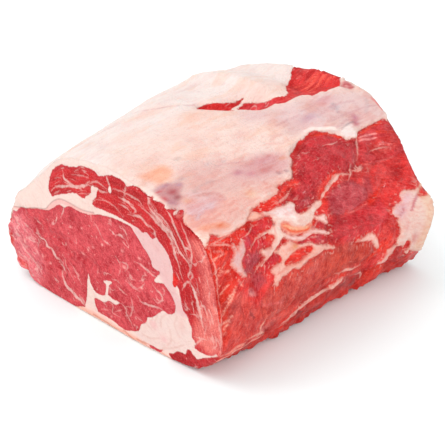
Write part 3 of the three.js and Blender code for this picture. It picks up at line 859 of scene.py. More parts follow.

# Painted shade in the clefts between the lobes.
wrap.strokes(lean, "821820", 0.6, [
    [(-68, -4), (-66, -7.5), (-64, -10)], [(57, 68), (54, 65), (53, 62)],
    [(-28, -32), (-22, -30), (-14, -33)], [(70, -24), (78, -25)]], 0.7)

# The bright column of lean by the near cut, with its pale threads.
wrap.tint(lean, "DE3016", [
    (-93, 47), (-80, 45), (-76, 41), (-78, 34), (-75, 26), (-76, 16), (-80, 8), (-84, -2), (-86, -12),
    (-93, -16)], 2, 0.7)
COLUMN_THREADS = [
    (0.45, [(-90, 39.5), (-86, 40.5), (-82.5, 40.5)]), (0.4, [(-92, 31), (-87, 33)]),
    (0.5, [(-91, 27), (-86, 29.5), (-80, 28.5)]), (0.4, [(-87, 29.5), (-84, 33), (-82, 34)]),
    (0.4, [(-91, 20), (-88, 22)]), (0.45, [(-89.5, 15.5), (-85, 18.5), (-82, 20)]),
    (0.4, [(-88, 9), (-84, 10), (-82, 12.5)]),
    (0.6, [(-90, 2), (-86, 5), (-83, 8), (-80, 11.5), (-77, 16)]), (0.45, [(-82, 9), (-81, 13)]),
    (0.55, [(-92, -2), (-87, -2.5), (-82, -0.5)]), (0.5, [(-90, -5.5), (-86, -4.5), (-84, -3)]),
    (0.4, [(-91, -9), (-88, -9)]), (0.4, [(-88, 44), (-84, 43)]), (0.4, [(-74, 20), (-72, 15)]),
]
for half_width, line in COLUMN_THREADS:
    wrap.stroke(lean, "F2AE98", half_width, line, 0.85)

# Threads along the fibres: rosy and pale ones, and orange ones under the edge of the cap.
wrap.strokes(lean, "F2A4A0", 0.7, [
    [(61, 68.5), (68, 67), (76, 65)], [(60, 66), (67, 64), (75, 62)],
    [(70, 56), (79, 55), (84, 52)]], 0.8)
wrap.strokes(lean, "E0706C", 0.6, [
    [(71, 54), (79, 54)], [(24, 25.5), (28.5, 24), (34, 24), (42, 24.5)],
    [(61, 70), (55, 63), (48, 57), (41, 53)], [(66, 60), (75, 54), (78, 51)],
    [(72, 52), (84, 50), (88, 46)], [(43, 42), (42.5, 38)], [(42, 50), (56, 48), (67, 46), (82, 43)],
    [(-56.5, -5), (-46.5, -7.5), (-39.5, -10)], [(60, 12), (62, 2), (61, -8)]], 0.6)
wrap.strokes(lean, "E24422", 1.1, [
    [(31, 86.5), (36, 84), (41, 80.5), (45, 75)], [(66, 71), (76, 72), (86, 72)],
    [(78, 66), (86, 62), (93, 60)]], 0.6)

# Patches: plum where a muscle lies deeper, brown and rosy where a thin skin covers it, and orange where
# it is wet.
wrap.tint(lean, "9E2C36", [(44, 42), (49, 41), (51, 37), (50, 31), (47, 30), (43, 34), (43, 38)], 3, 0.8)
wrap.tint(lean, "DB9490", [
    (-67, 10), (-65, 10.5), (-63, 8.5), (-61.5, 5), (-60, 3.5), (-63.5, 4.5), (-66.5, 6)], 1.4, 0.85)
wrap.tint(lean, "C86468", [(-20, 47.5), (-15, 48), (-9, 46.5), (-10, 44.5), (-16, 45)], 1.2, 0.7)
wrap.tint(lean, "D83A20", [(-50, 36), (-44, 38.5), (-41, 35.5), (-44, 33)], 1.5, 0.7)
wrap.spot(lean, "A81E2A", (-51, 0.5), (1.6, 1.6), 0.7)
wrap.spot(lean, "A81E2A", (-13, -2), (2, 1.6), 0.7)
wrap.tint(lean, "C2402F", [
    (-4, 2), (8, 4), (24, 3), (38, -1), (42, -10), (34, -13), (12, -13), (-2, -8)], 2)
wrap.stroke(lean, "E09484", 1.2, [(-94, -24), (-86, -25.5), (-78, -25), (-70, -26)], 0.7)
wrap.stroke(lean, "9C2018", 1.2, [(-92, -38), (-82, -38), (-72, -37), (-62, -38)], 0.6)
wrap.tint(lean, "D06058", [
    (-66, -23), (-58, -22), (-54, -19), (-52, -28), (-60, -29), (-66, -27)], 1.5, 0.7)
ORANGE_PATCHES = [
    [(-50, 57), (-26, 59), (-14, 63), (-10, 58), (-24, 55), (-46, 54)],
    [(46, -10), (60, -2), (60, -14), (50, -14)],
    [(0, 48), (8, 52), (20, 54), (26, 50), (16, 48), (8, 43), (2, 38)],
]
for outline in ORANGE_PATCHES:
    wrap.tint(lean, ORANGE_RED, outline, 2.5, 0.8)
wrap.tint(lean, "D8382A", [(64, 60), (90, 58), (96, 50), (80, 48), (66, 50)], 3, 0.6)

# The back: a muscle that shows red through the opened seam and at the crest, and the tints of the fat cap.
CREST = [
    (20.5, 141.5), (26.5, 143), (31.5, 138.5), (34, 134.5), (36, 130.5), (39.5, 127.5), (45, 125.5),
    (53, 127.5), (55, 130), (59, 135), (68, 142.5), (77, 149.5), (84, 153), (91, 158), (103, 160),
    (103, 119), (94.5, 119), (88, 114), (80, 111), (70.5, 111.5), (69, 114), (60.5, 114.5), (54.5, 118.5),
    (50, 118.5), (44, 117.5), (39.5, 118), (36, 120), (34.5, 123.5), (29.5, 124), (21.5, 125),
    (19.5, 129), (17.5, 132), (18, 136.5),
]
wrap.muscle(CREST)
wrap.muscle([
    (1, 160), (7, 157.5), (14.5, 152.5), (22, 149.5), (31, 145.5), (25, 145), (20, 145), (15, 143.5),
    (10, 140), (7.5, 139), (5.5, 146), (3, 155)])
wrap.muscle([(8, 136), (13, 139.5), (18, 143), (19, 141.5), (13, 137), (9, 134.5)])
wrap.tint(lean, "D4302F", CREST, 4)
wrap.tint(lean, "D9444A", [(8, 134), (20, 142), (38, 136), (38, 120), (14, 120)], 4)
wrap.strokes(lean, "F06A55", 0.55, [
    [(85.5, 149), (90, 150), (97, 150.5)], [(78.5, 144.5), (83, 141), (89, 137.5), (97, 136.5)],
    [(75, 137), (81, 135.5), (97, 135)], [(65.5, 118.5), (76, 124), (86.5, 126.5), (97, 122.5)],
    [(66, 140), (60, 133), (60.5, 128), (59.5, 121)], [(70, 130), (82, 130.5), (97, 130)]], 0.7)

# Broad zones of rose, lilac and mauve in the fat of the cap, and the peach and rosy stains by the near rim.
# The greyish lilac over the far part of the back is partly its own tint and partly painted shade.
MAUVE, LILAC_AND_SHADE, ROSE_FAT, PEACH = "D0A0A0", "D9BCBA", "D7AEA8", "E6AF9A"
ROSE_ZONE = [
    (-73, 100), (-59, 109), (-48, 108), (-35, 102), (-30, 89), (-38, 73), (-49, 70), (-60, 76), (-72, 82),
    (-79, 90),
]
RIM_ZONE = [
    (-80, 87), (-72, 82), (-60, 76), (-49, 70), (-29, 68), (-19, 66), (-26, 59), (-39, 62), (-53, 59),
    (-66, 53), (-81, 56), (-93, 62), (-88, 75),
]
LILAC_AND_SHADE_ZONE = [
    (12, 132), (25, 121), (41, 116), (58, 112), (79, 107), (92, 97), (92, 87), (93, 75), (65, 78),
    (45, 82), (30, 91), (19, 95), (15, 111), (3, 119),
]
wrap.tint(fat, "E4D6D1", [
    (-110, 150), (0, 158), (30, 150), (60, 148), (110, 150), (110, 250), (-110, 250)], 12)
wrap.tint(fat, ROSE_FAT, ROSE_ZONE, 9, 0.9)
wrap.tint(fat, "DDABA1", RIM_ZONE, 7, 0.9)
# Greyish lilac over the far part of the back: partly its own tint, partly painted shade.
wrap.tint(fat, LILAC_AND_SHADE, LILAC_AND_SHADE_ZONE, 8)
wrap.tint(fat, MAUVE, [(-40, 86), (-20, 92), (0, 84), (-4, 70), (-30, 71)], 6, 0.9)
wrap.tint(fat, "E6A98E", [
    (-87, 119), (-81, 118.5), (-73, 119), (-67.5, 117), (-67, 110), (-71, 106), (-77, 104), (-82, 105),
    (-84, 111)], 3, 0.9)
wrap.tint(fat, "E4A48C", [
    (-90, 61), (-85, 61), (-79.5, 59.5), (-74, 58), (-70.5, 54.5), (-71, 52.5), (-75.5, 53.5), (-81, 56),
    (-87, 57)], 1.8, 0.9)
wrap.spot(fat, "D8784E", (-76.5, 56.5), (2.6, 1.1), 0.8)
wrap.tint(fat, "D2B2B8", [(-88, 84), (-76, 88), (-66, 85), (-61, 76), (-70, 68), (-84, 71)], 4, 0.6)
wrap.tint(fat, "C08E90", [
    (-88, 103), (-80.5, 104), (-75.5, 101), (-70.5, 98), (-72.5, 94.5), (-77, 92), (-80, 88), (-83, 85.5),
    (-87, 83), (-90, 84), (-90.5, 88), (-89.5, 94), (-89.5, 99)], 1.8, 0.9)

# Soft spots of bruise, plum and peach, by colour: (along, round, half length, half width).
TINGES = {
    "A4444A": [(-80.8, 94.5, 4, 3)],
    "92484E": [(-81.5, 89, 2.8, 2.2)],
    "C2545A": [(-88.5, 92.5, 2, 2.6), (-87, 99.5, 3, 1.1)],
    "B07C86": [(-87, 88, 2.4, 2.8)],
    "B492A0": [(-73, 97, 2, 1.4), (-80, 101.5, 4, 1.2)],
    "C0AAB0": [(-69, 100.5, 4, 1.5), (62, 96, 4, 2)],
    "A88078": [(-70, 87, 1.4, 1.0), (-57, 116, 1.6, 1)],
    "CCB2B2": [(-56, 89, 2.2, 1.2), (-34, 99, 2, 1), (-45, 102, 2.6, 1.4)],
    "98626A": [(-10, 69, 1.5, 1), (-15, 70, 1.6, 1.2), (64, 98, 1.5, 0.8)],
    "B87A86": [(-36, 85, 3.2, 2)],
    "C6848C": [(-30, 80, 3.5, 2.2)],
    "C37676": [(-20, 78, 5, 2.8)],
    "CE9CA0": [(-14, 85, 9, 4), (60, 104, 9, 4)],
    "D99A82": [(-2, 80, 3, 1.8)],
    "E2B8A0": [(-44, 66, 4, 4)],
    "DCA894": [(-79, 84, 3, 3)],
    "BE98A4": [(40, 98, 7, 3.5)],
    "BE6E80": [(67, 80, 2.6, 3)],
    "C48A9E": [(70, 84.5, 2.4, 3.4)],
    "E0806C": [(-91, 76, 3, 2)],
}
wrap.tint(fat, "B8565C", [
    (81, 113), (88, 116), (93, 113), (92.5, 107), (88, 104.5), (86.5, 107), (86, 111)], 1.2, 0.85)
for colour, spots in TINGES.items():
    for along, around, length, width in spots:
        wrap.spot(fat, colour, (along, around), (length, width), 0.85)

# Thin streaks of blood and of membrane on the cap, and one grey line of painted shade along a fold
# (A89094):
# colour, half width and line.
CAP_STREAKS = [
    ("CBAEB4", 1.2, [(-85.5, 66.5), (-80, 70), (-75, 71), (-72, 69.5)]),
    ("CBAAA6", 0.8, [(-70.5, 87), (-64, 89), (-58, 89), (-53, 88.5)]),
    ("CFA09C", 1.4, [(-71, 83), (-61, 79), (-60, 73)]), ("D8C0C4", 2.2, [(-84, 73.5), (-71, 71)]),
    ("C0AAAE", 0.8, [(60, 98), (64, 99.5), (63, 96), (60, 92)]),
    ("CDB8B8", 1.2, [(88, 92), (85, 88), (81, 85)]),
    ("A89094", 0.7, [(51, 79.5), (60, 81.5), (66, 81.5)]),
    ("F2E2DA", 1.3, [(29, 90.5), (34, 90), (38, 87), (42, 85), (46, 82)]),
    ("A8383E", 0.7, [(85, 113.5), (89, 112), (91.5, 108.5)]), ("E2A8A2", 0.5, [(87.5, 108), (90, 110.5)]),
    ("A8383E", 0.5, [(88, 106), (91, 105)]), ("D87070", 0.8, [(93, 91), (94, 85), (94, 81)]),
]
for colour, half_width, line in CAP_STREAKS:
    wrap.stroke(fat, colour, half_width, line, 0.75)

# A clean lip of fat above the far lean, and faint peach over the back.
wrap.tint(fat, "EBDAD6", [
    (49, 79), (57, 80.5), (63, 80), (61, 76), (61, 72), (59, 69), (52, 70), (47, 75)], 1)
wrap.spot(fat, PEACH, (-28, 178), (16, 7), 0.4)
wrap.spot(fat, PEACH, (-60, 160), (12, 8), 0.35)
wrap.spot(fat, PEACH, (-10, 145), (14, 5), 0.35)

# The long folds of the cap, drawn as darker lines: painted shade along the folds.
BACK_FOLD_SHADE_LINES = [
    [(39, 105), (49, 105), (62, 107), (67, 106)], [(46, 95), (59, 98), (69, 97), (79, 95)],
    [(49, 88), (64, 89), (80, 88), (91, 86)], [(17, 104), (28, 104), (37, 103)],
    [(-42, 98), (-34, 96), (-27, 92)], [(-75, 71), (-67, 73), (-60, 70)],
    [(48, 82), (55, 83), (61, 85), (71, 86)], [(4, 160), (-9, 168), (-19, 179), (-26, 194)],
    [(-63, 189), (-50, 190), (-44, 185)],
]
wrap.strokes(fat, "C99A9E", 0.5, BACK_FOLD_SHADE_LINES, 0.55)

# The grain: along the loin, then slanted over the lip side, and steeper by the near cut and the foot.
loin_along, loin_round = wrap.places.T
roam_along, roam_round = (wrap.places + 5 * lumps(wrap.places, 14, 22)[:, None]).T
wrap.fibres(np.ones(len(loin_round)), 0, 2.8)
wrap.fibres(smooth(-2, 1, depth_inside(LIP_LEAN, wrap.places)), -25, 2.2)
wrap.fibres(smooth(16, 8, roam_round) * smooth(66, 54, roam_along), 62, 1.5)
wrap.fibres(smooth(56, 46, roam_round) * smooth(-34, -44, roam_along), 80, 1.5)
wrap.fibres(smooth(54, 44, roam_round) * smooth(-66, -76, roam_along), 42, 1.8)
wrap.fibres(smooth(-3, 3, depth_inside(UPPER_LEAN, wrap.places)), 20, 1.15)
blushing = smooth(150, 70, loin_round) * 0.7 + 0.15 + 0.2 * lumps(wrap.places, 30, 3)
wrap.fleck = np.where(wrap.fat > 0, blushing, 0.1)
wrap.wet = smooth(100, 60, loin_round)

# The sole and the low chine side, where the ribs and the feather bones were: bands of lean between sheets
# of fat.
chine = smooth(262, 300, loin_round) * smooth(480, 440, loin_round)
rib_band = 1.5 * lumps(wrap.places * (0.8, 1.5), 24, 5) + 0.8 * lumps(wrap.places, 10, 6)
rib_band += 0.3 * np.cos(loin_along / 7)
wrap.fat = np.where(chine > 0, np.minimum(wrap.fat, 10 - chine * (12 + 4 * rib_band)), wrap.fat)
CHINE_SPOTS = [
    ((-40, 250), (26, 9), "E9BFA6"), ((30, 262), (30, 8), "E4C0B6"), ((70, 236), (16, 10), "EBC6AC"),
    ((-8, 226), (22, 7), "DDBBB6"), ((-76, 262), (12, 14), "DCB0AA"), ((50, 290), (20, 7), "DDA9A2"),
    ((-30, 292), (24, 6), "DBA79E"), ((0, 276), (8, 4), "C99292"), ((58, 268), (5, 2.5), "BC8088"),
]
for centre, radius, colour in CHINE_SPOTS:
    wrap.spot(fat, colour, centre, radius, 0.7)
wrap.strokes(fat, "CE9F9C", 0.7, [
    [(-88, 246), (-60, 254), (-34, 252), (-10, 258)], [(-20, 236), (10, 240), (40, 236), (74, 242)],
    [(10, 270), (34, 276), (60, 272), (84, 278)], [(-70, 280), (-50, 274), (-30, 278)],
    [(60, 220), (74, 228), (90, 226)]], 0.6)
wrap.seams({
    0.8: [
        [(-90, 316), (-70, 322), (-48, 318), (-30, 326)], [(-20, 330), (4, 322), (26, 328), (50, 320)],
        [(30, 350), (54, 342), (80, 346)], [(-60, 352), (-36, 346), (-14, 354)],
        [(60, 316), (76, 324), (92, 320)]]})
CHINE_LEAN = [
    ([(-100, 300), (-60, 304), (-30, 330), (-60, 350), (-100, 350)], "B83038"),
    ([(10, 300), (50, 296), (90, 310), (80, 350), (20, 345)], "B42A30"),
    ([(-30, 340), (10, 335), (40, 360), (0, 380), (-40, 370)], "C24A46"),
]
for outline, colour in CHINE_LEAN:
    wrap.tint(lean, colour, outline, 8)
foot_lean = smooth(470, 488, loin_round)
wrap.fat = np.where(foot_lean > 0, np.minimum(wrap.fat, 4 - 8 * foot_lean), wrap.fat)


# ---------------------------------------------------------------------------------------------------------
# The relief of the skin: the cap stands over the bare lean with a broken edge, the muscles swell, the seam
# on the back lies open, and the foot is ragged. Heights are in millimetres, outwards.
FAT_STEP, SIDE_STEP, CAP_STEP = 0.2, 1.0, 0.9
SEAM_RIDGE, SEAM_GROOVE_ON_CUT, SEAM_DITCH = 0.45, -0.18, 0.5
SWELLS, STRANDS, CREASES, FOLDS, LOBE_SWELL, LOBE_CREASE = 0.65, 0.4, 0.28, 0.7, 1.0, 0.6
HEM_BULGE, HEM_LUMPS, HEM_SHREDS = 2.2, 2.2, 1.3
LEEWAY = 3


def gathered(name):
    """A drawn layer of the three charts, put back in the order of the skin's corners."""
    values = np.empty((corner_count, *getattr(wrap, name).shape[1:]))
    for chart in (near_cut, far_cut, wrap):
        values[chart.members] = getattr(chart, name)
    return values


def drawn_out(along, around, roam, roam_size, size, seed):
    """Unevenness drawn out along the loin, on lines that roam."""
    stretched = np.stack([y * along, round_mm * around, z * 0], axis=1)
    return lumps(stretched + roam * lumps(skin, roam_size, seed)[:, None], size, seed + 1)


# The step up from lean to fat, and the seams: ridges between ditches on the side, grooves on a cut.
side_share = smooth(0.85, 0.5, abs(facing[:, 1]))
back_share = np.where(skin_side, smooth(60, 100, round_mm) * smooth(320, 280, round_mm), 0)
fat_inside, seams = gathered("fat"), gathered("seam")
lean_share = smooth(0.4, -1.6, fat_inside)
ragged_fat = fat_inside + 1.1 * lumps(skin, 5, 7) + 0.7 * lumps(skin, 2.4, 8)
fat_step = FAT_STEP + side_share * (SIDE_STEP + CAP_STEP * smooth(48, 62, round_mm))
relief = fat_step * (smooth(-1.0, 1.2, ragged_fat) - 0.6)
seam_away = seams[:, 1] / (seams[:, 2] + 0.5)
relief += np.where(skin_side, SEAM_RIDGE, SEAM_GROOVE_ON_CUT) * np.exp(-seam_away ** 2)
relief -= np.where(skin_side, SEAM_DITCH, 0) * np.exp(-(seam_away - 2.2) ** 2) * lean_share

# The swells and strands of the muscles, the lobes with a crease round each, and the folds of the cap.
strands, swell, lobe_crease = (gathered(name) * lean_share for name in ("strands", "swell", "crease"))
swells = lumps(skin, 13, 9) * (0.9 + 0.3 * lean_share) + 0.45 * lumps(skin, 6, 10) * (0.4 + lean_share)
creases = drawn_out(0.16, 0.55, 3, 20, 2.2, 11)
folded = smooth(-30, 20, y) * smooth(130, 105, round_mm) * back_share
folds = drawn_out(0.35, 0.9, 5, 16, 5, 16) * folded
all_swells = SWELLS * swells + STRANDS * strands + CREASES * back_share * creases + FOLDS * folds
relief += side_share * all_swells
relief += side_share * (LOBE_SWELL * swell - LOBE_CREASE * lobe_crease)
relief += (1 - side_share) * (0.15 * lumps(skin, 13, 9) + 0.07 * lumps(skin, 4.5, 10))
# Painted shade: the low places of the relief and the creases round the lobes are marked here to be darkened
# in the finish.
low_places = 0.7 * swells + 0.9 * strands + 0.5 * creases * back_share + folds
hollow_shade_share = smooth(0.1, -1.0, side_share * low_places)
hollow_shade_share = np.maximum(hollow_shade_share, 0.8 * lobe_crease * (0.6 + 0.6 * lumps(skin, 9, 23)))

# The hem of shreds along the foot, with painted shadow marked under it, and the torn rim of the near cut on
# the chine side.
hem = np.where(skin_side & (x > 40), smooth(11, 4, z), 0)
hem_height = 0.6 + HEM_BULGE * smooth(-80, -62, y) * smooth(20, -15, y)
hem_height += HEM_LUMPS * lumps(skin, 6, 13) + HEM_SHREDS * lumps(skin, 3, 14)
relief += hem * smooth(1.2, 3.5, z) * hem_height
hollow_shade_share = np.maximum(hollow_shade_share, hem * smooth(3.0, 0.5, z + 1.5 * lumps(skin, 6, 13)))
torn_rim = smooth(-84, -94, y) * smooth(256, 272, round_mm) * smooth(350, 330, round_mm)
relief -= torn_rim * (0.6 + 1.6 * lumps(skin, 6, 31) + 0.8 * lumps(skin, 3, 32))
above_table = smooth(0.3, 5, z)
shape = skin + facing * (relief * above_table)[:, None]

# The ridge of the back rises and dips along the loin. The far shoulder stands out, the far foot is tucked
# in, and the near shoulder of the chine side is rounder.
RIDGE = {
    -45: 0, -30: -0.8, -14: -0.6, -3: -1.2, 5: -2, 12: -3, 24: -4, 33: -2.2, 42: 2.8, 54: 0.8, 65: -2.4,
    71: -7, 78: -8.5, 84: -6.6, 91: -3.8, 96: -3,
}
SHOULDER, TUCK, NEAR_SHOULDER = (2.0, 0.5, 1.6), (-2.2, -1.4, 0), (2.2, 0, -2.2)
CREST_RISE = 2.6
far_rim = smooth(80, 88, y)
ridge = np.interp(y, list(RIDGE), list(RIDGE.values()))
ridge += CREST_RISE * smooth(84, 92, y) * smooth(106, 120, round_mm) * smooth(156, 140, round_mm)
ridge_rise = smooth(0, 1, (round_mm - 108 + 12 * far_rim) / (32 - 6 * far_rim))
shape[:, 2] += ridge * ridge_rise * smooth(230, 190, round_mm) * smooth(60, 90, z)
by_the_lip = smooth(30, 62, x)
shoulder = smooth(70, 90, y) * smooth(6, 25, round_mm) * smooth(104, 72, round_mm) * by_the_lip
shape += shoulder[:, None] * SHOULDER
tuck = smooth(66, 86, y) * smooth(10, -6, round_mm) * smooth(-34, -18, round_mm) * by_the_lip
shape += tuck[:, None] * TUCK
near_shoulder = smooth(-80, -92, y) * smooth(192, 222, round_mm) * smooth(262, 246, round_mm)
shape += (near_shoulder * smooth(35, 60, -x))[:, None] * NEAR_SHOULDER
box_low, box_high = (np.array(corner) / MM for corner in cad_box)
shape = np.clip(shape, box_low - LEEWAY, box_high + LEEWAY)
shape[:, 2] = np.maximum(shape[:, 2], 0)
joint.data.vertices.foreach_set("co", (shape * MM).ravel())

# What is drawn goes with the skin as named layers, for the finish. The hollow layer says where shade is
# painted.
drawn_vectors = {
    "seam": seams,
    "lean": gathered("lean_tint"),
    "fat_colour": gathered("fat_tint"),
    "grain": gathered("grain"),
}
drawn_numbers = {
    "fat": fat_inside, "fleck": gathered("fleck"), "wet": gathered("wet"), "film": gathered("film"),
    "back": back_share, "hollow_shade": hollow_shade_share,
}
for name, values in drawn_vectors.items():
    layer = joint.data.attributes.new(name, "FLOAT_VECTOR", "POINT")
    layer.data.foreach_set("vector", values.ravel())
for name, values in drawn_numbers.items():
    layer = joint.data.attributes.new(name, "FLOAT", "POINT")
    layer.data.foreach_set("value", values)
joint.data.update()


# ---------------------------------------------------------------------------------------------------------
# The finish of raw beef: one moist surface whose red lean and cream fat follow what is drawn on the skin,
# with the fine marbling, fibres and membranes added here.
class Wire:
    """One output in a finish, with the usual sums on it."""

    def __init__(self, finish, socket):
        self.finish, self.socket = finish, socket

    def sum(self, operation, *others):
        """One sum on this and others, by its name."""
        inputs = dict(enumerate((self, *others)))
        return self.finish.node("ShaderNodeMath", {"operation": operation}, inputs)

    def __add__(self, other):
        return self.sum("ADD", other)

    def __sub__(self, other):
        return self.sum("SUBTRACT", other)

    def __rsub__(self, other):
        return self.finish.node("ShaderNodeMath", {"operation": "SUBTRACT"}, {0: other, 1: self})

    def __mul__(self, other):
        return self.sum("MULTIPLY", other)

    __radd__, __rmul__ = __add__, __mul__

    def __abs__(self):
        return self.sum("ABSOLUTE")

    def over(self, other):
        """The larger of two."""
        return self.sum("MAXIMUM", other)

    def rise(self, low, high):
        """Goes smoothly from 0 at low to 1 at high, or down where high is the smaller."""
        if low > high:
            return 1 - self.rise(high, low)
        inputs = {"Value": self, "From Min": low, "From Max": high}
        return self.finish.node("ShaderNodeMapRange", {"interpolation_type": "SMOOTHSTEP"}, inputs)


class Finish:
    """A material, and the one way its nodes are made."""

    def __init__(self, name):
        self.material = bpy.data.materials.new(name)
        self.material.use_nodes = True
        self.tree = self.material.node_tree
        self.shader = self.tree.nodes["Principled BSDF"]

    def put(self, socket, value):
        """Gives an input a number, a colour or a wire."""
        if isinstance(value, Wire):
            self.tree.links.new(value.socket, socket)
        elif hasattr(value, "__len__") and socket.type == "RGBA":
            socket.default_value = (*value, 1)
        else:
            socket.default_value = value

    def node(self, kind, settings, inputs, output=None):
        """Adds a node: its settings first, then its inputs. Gives back one output."""
        node = self.tree.nodes.new(kind)
        for name, value in settings.items():
            setattr(node, name, value)
        for name, value in inputs.items():
            self.put(node.inputs[name], value)
        if output is None:
            return Wire(self, next(socket for socket in node.outputs if socket.enabled))
        return Wire(self, node.outputs[output])

    def vector(self, operation, first, second=(0, 0, 0), factor=1.0):
        """A sum on vectors."""
        inputs = {0: first, 3: factor} if operation == "SCALE" else {0: first, 1: second}
        return self.node("ShaderNodeVectorMath", {"operation": operation}, inputs)

    def parts(self, vector):
        """The three numbers of a vector or colour."""
        split = self.node("ShaderNodeSeparateXYZ", {}, {0: vector}).socket.node
        return [Wire(self, socket) for socket in split.outputs]

    def cloud(self, place, scale, detail, reach):
        """A smooth shift in every direction, up to about half of `reach`."""
        noise = self.node(
            "ShaderNodeTexNoise", {}, {"Vector": place, "Scale": scale, "Detail": detail}, "Color")
        shift = self.vector("SUBTRACT", noise, (0.5, 0.5, 0.5))
        return self.vector("SCALE", shift, factor=reach)

    def drawn(self, name, output="Vector"):
        """What is drawn on the skin under this name."""
        return self.node("ShaderNodeAttribute", {"attribute_name": name}, {}, output)

    def noise(self, place, scale, detail=2.0, roughness=0.5):
        """Unevenness between 0 and 1, with about `scale` lumps to the millimetre."""
        inputs = {"Vector": place, "Scale": scale, "Detail": detail, "Roughness": roughness}
        return self.node("ShaderNodeTexNoise", {}, inputs, "Fac")

    def blend(self, share, first, second, kind="MIX"):
        """Colours mixed by a share."""
        return self.node(
            "ShaderNodeMix", {"data_type": "RGBA", "blend_type": kind}, {0: share, 6: first, 7: second}, 2)

    def shaded(self, colour, shade):
        """A colour with its red, green and blue each multiplied by a shade's."""
        return self.blend(1.0, colour, shade, "MULTIPLY")

    def set(self, **sockets):
        """Gives the surface its colour, gloss and the rest."""
        for name, value in sockets.items():
            self.put(self.shader.inputs[name.replace("_", " ")], value)


beef = Finish("raw_beef")
metres = beef.node("ShaderNodeTexCoord", {}, {}, "Object")
place = beef.vector("SCALE", metres, factor=1 / MM)
broken = beef.noise(place, 0.24, 3.0) - 0.5
frayed = beef.noise(place, 0.9, 2.0) - 0.5
wander = broken * 1.6 + frayed * 1.1
on_skin = beef.drawn("wet", "Fac")
on_back = beef.drawn("back", "Fac")
on_lip = on_skin * (1 - on_back)
warped = beef.vector("ADD", beef.drawn("grain"), beef.cloud(place, 0.13, 1.0, 2.4))

# Where there is fat: the drawn pieces with feathered edges, the drawn seams, and fine flecks and
# squiggles of marbling.
film = beef.drawn("film", "Fac")
feather = (beef.noise(warped, 0.4, 3.0, 0.6) - 0.5) * (1.15 - film) * 10 * on_skin
fat_depth = beef.drawn("fat", "Fac") + wander * (on_skin * 0.2 + 1.0) + feather + on_lip * 0.4
fat_here = (fat_depth * (film * 4.0 - 3.2).over(0.2) * (1 - on_lip * 0.45)).rise(-0.3, 0.3) * film
seam_offset, seam_reach, seam_width = beef.parts(beef.drawn("seam"))
seam_gap = abs(seam_offset + wander).over(seam_reach - 1.4)
seam_edge = (seam_gap - seam_width * (0.25 + beef.noise(place, 0.4, 1.0) * 1.4)).rise(0.5, -0.4)
seam_strength = seam_width.rise(0.2, 1.1) * 0.36 + 0.34 + on_skin * 0.1
seam_here = seam_edge * seam_strength * (beef.noise(place, 0.3, 1.0).rise(0.2, 0.55) * 0.5 + 0.5)
fleck = beef.drawn("fleck", "Fac")
squiggle = abs(beef.noise(warped, 0.17, 2.0, 0.45) - 0.5)
gate = (beef.noise(place, 0.12, 1.0) + fleck * 0.3).rise(0.66, 0.73)
squiggle_here = squiggle.rise(0.030, 0.010) * gate
fleck_here = (beef.noise(warped, 0.5, 1.5, 0.4) + fleck * 0.10).rise(0.71, 0.78)
marbling = squiggle_here.over(fleck_here) * (0.36 - on_skin * 0.16)

# The lean: bundles of fibre in a mosaic, paler between them, deeper at the rim of a muscle on the cut face,
# and brighter and more orange close to the fat on the wet side. Fine pale pink flecks are painted glints,
# and the hollows and the lean along the edge of the fat get painted shade.
DARK_SHADE, PALE_SHADE, PALE_PINK = (0.68, 0.26, 0.33), (1.16, 1.15, 1.10), (0.95, 0.60, 0.55)
PAINTED_GLINT_PINK, FIBRE_PINK, BUNDLE_PINK = (0.90, 0.32, 0.30), (0.90, 0.30, 0.25), (0.93, 0.42, 0.40)
RIM_SHADE, GLOW_ORANGE, HOLLOW_SHADE = (0.88, 0.35, 0.5), (0.76, 0.026, 0.012), (0.42, 0.25, 0.30)
lean_tint = beef.drawn("lean", "Color")
granule = beef.noise(warped, 0.62, 3.0, 0.6)
strand = beef.noise(warped, 0.24, 2.0, 0.5)
speckle_and_glints = beef.noise(place, 1.15, 1.5, 0.5)
fibre = beef.noise(beef.vector("MULTIPLY", warped, (0.3, 1.0, 1.0)), 1.0, 2.0, 0.5)
broad = beef.noise(place, 0.07, 2.0)
bundles = {"Vector": warped, "Scale": 0.38}
bundle_edge = beef.node("ShaderNodeTexVoronoi", {"feature": "DISTANCE_TO_EDGE"}, bundles, "Distance")
bundle_tone = beef.parts(beef.node("ShaderNodeTexVoronoi", {}, bundles, "Color"))[0]
tone = (granule - 0.5) * 0.9 + (strand - 0.5) * 0.8 + (bundle_tone - 0.5) * 0.25 + (broad - 0.5) + 0.5
tone = tone + (speckle_and_glints - 0.5) * (1.0 - on_skin * 0.3) + (fibre - 0.5) * (on_skin * 0.5 + 0.3)
pale_lean = beef.blend(0.02, beef.shaded(lean_tint, PALE_SHADE), PALE_PINK)
red = beef.blend(tone.rise(0.0, 1.0), beef.shaded(lean_tint, DARK_SHADE), pale_lean)
# Painted glints: fine pale pink flecks over the lean.
red = beef.blend(speckle_and_glints.rise(0.58, 0.72) * (0.18 - on_skin * 0.1), red, PAINTED_GLINT_PINK)
red = beef.blend(fibre.rise(0.60, 0.76) * on_skin * 0.14, red, FIBRE_PINK)
red = beef.blend(bundle_edge.rise(0.10, 0.0) * 0.05, red, BUNDLE_PINK)
rim = fat_depth.rise(-3.5, -0.3) * (1 - on_skin) * (frayed + 0.5).rise(0.3, 0.7)
red = beef.blend(rim * 0.6, red, beef.shaded(lean_tint, RIM_SHADE))
glow = fat_depth.rise(-5.0, -0.5) * on_skin * (broken * 1.6 + 0.5).rise(0.2, 0.8)
red = beef.blend(glow * 0.5, red, GLOW_ORANGE)
# Painted shade: the lean is darkened in its hollows and in a thin line along the edge of the fat.
hollow_shade = beef.drawn("hollow_shade", "Fac")
contact_shade = fat_depth.rise(-1.6, -0.3) * on_skin * (broken * 2.0 + 0.5).rise(0.2, 0.8)
red = beef.blend((hollow_shade * 0.45).over(contact_shade * 0.15), red, beef.shaded(red, HOLLOW_SHADE))
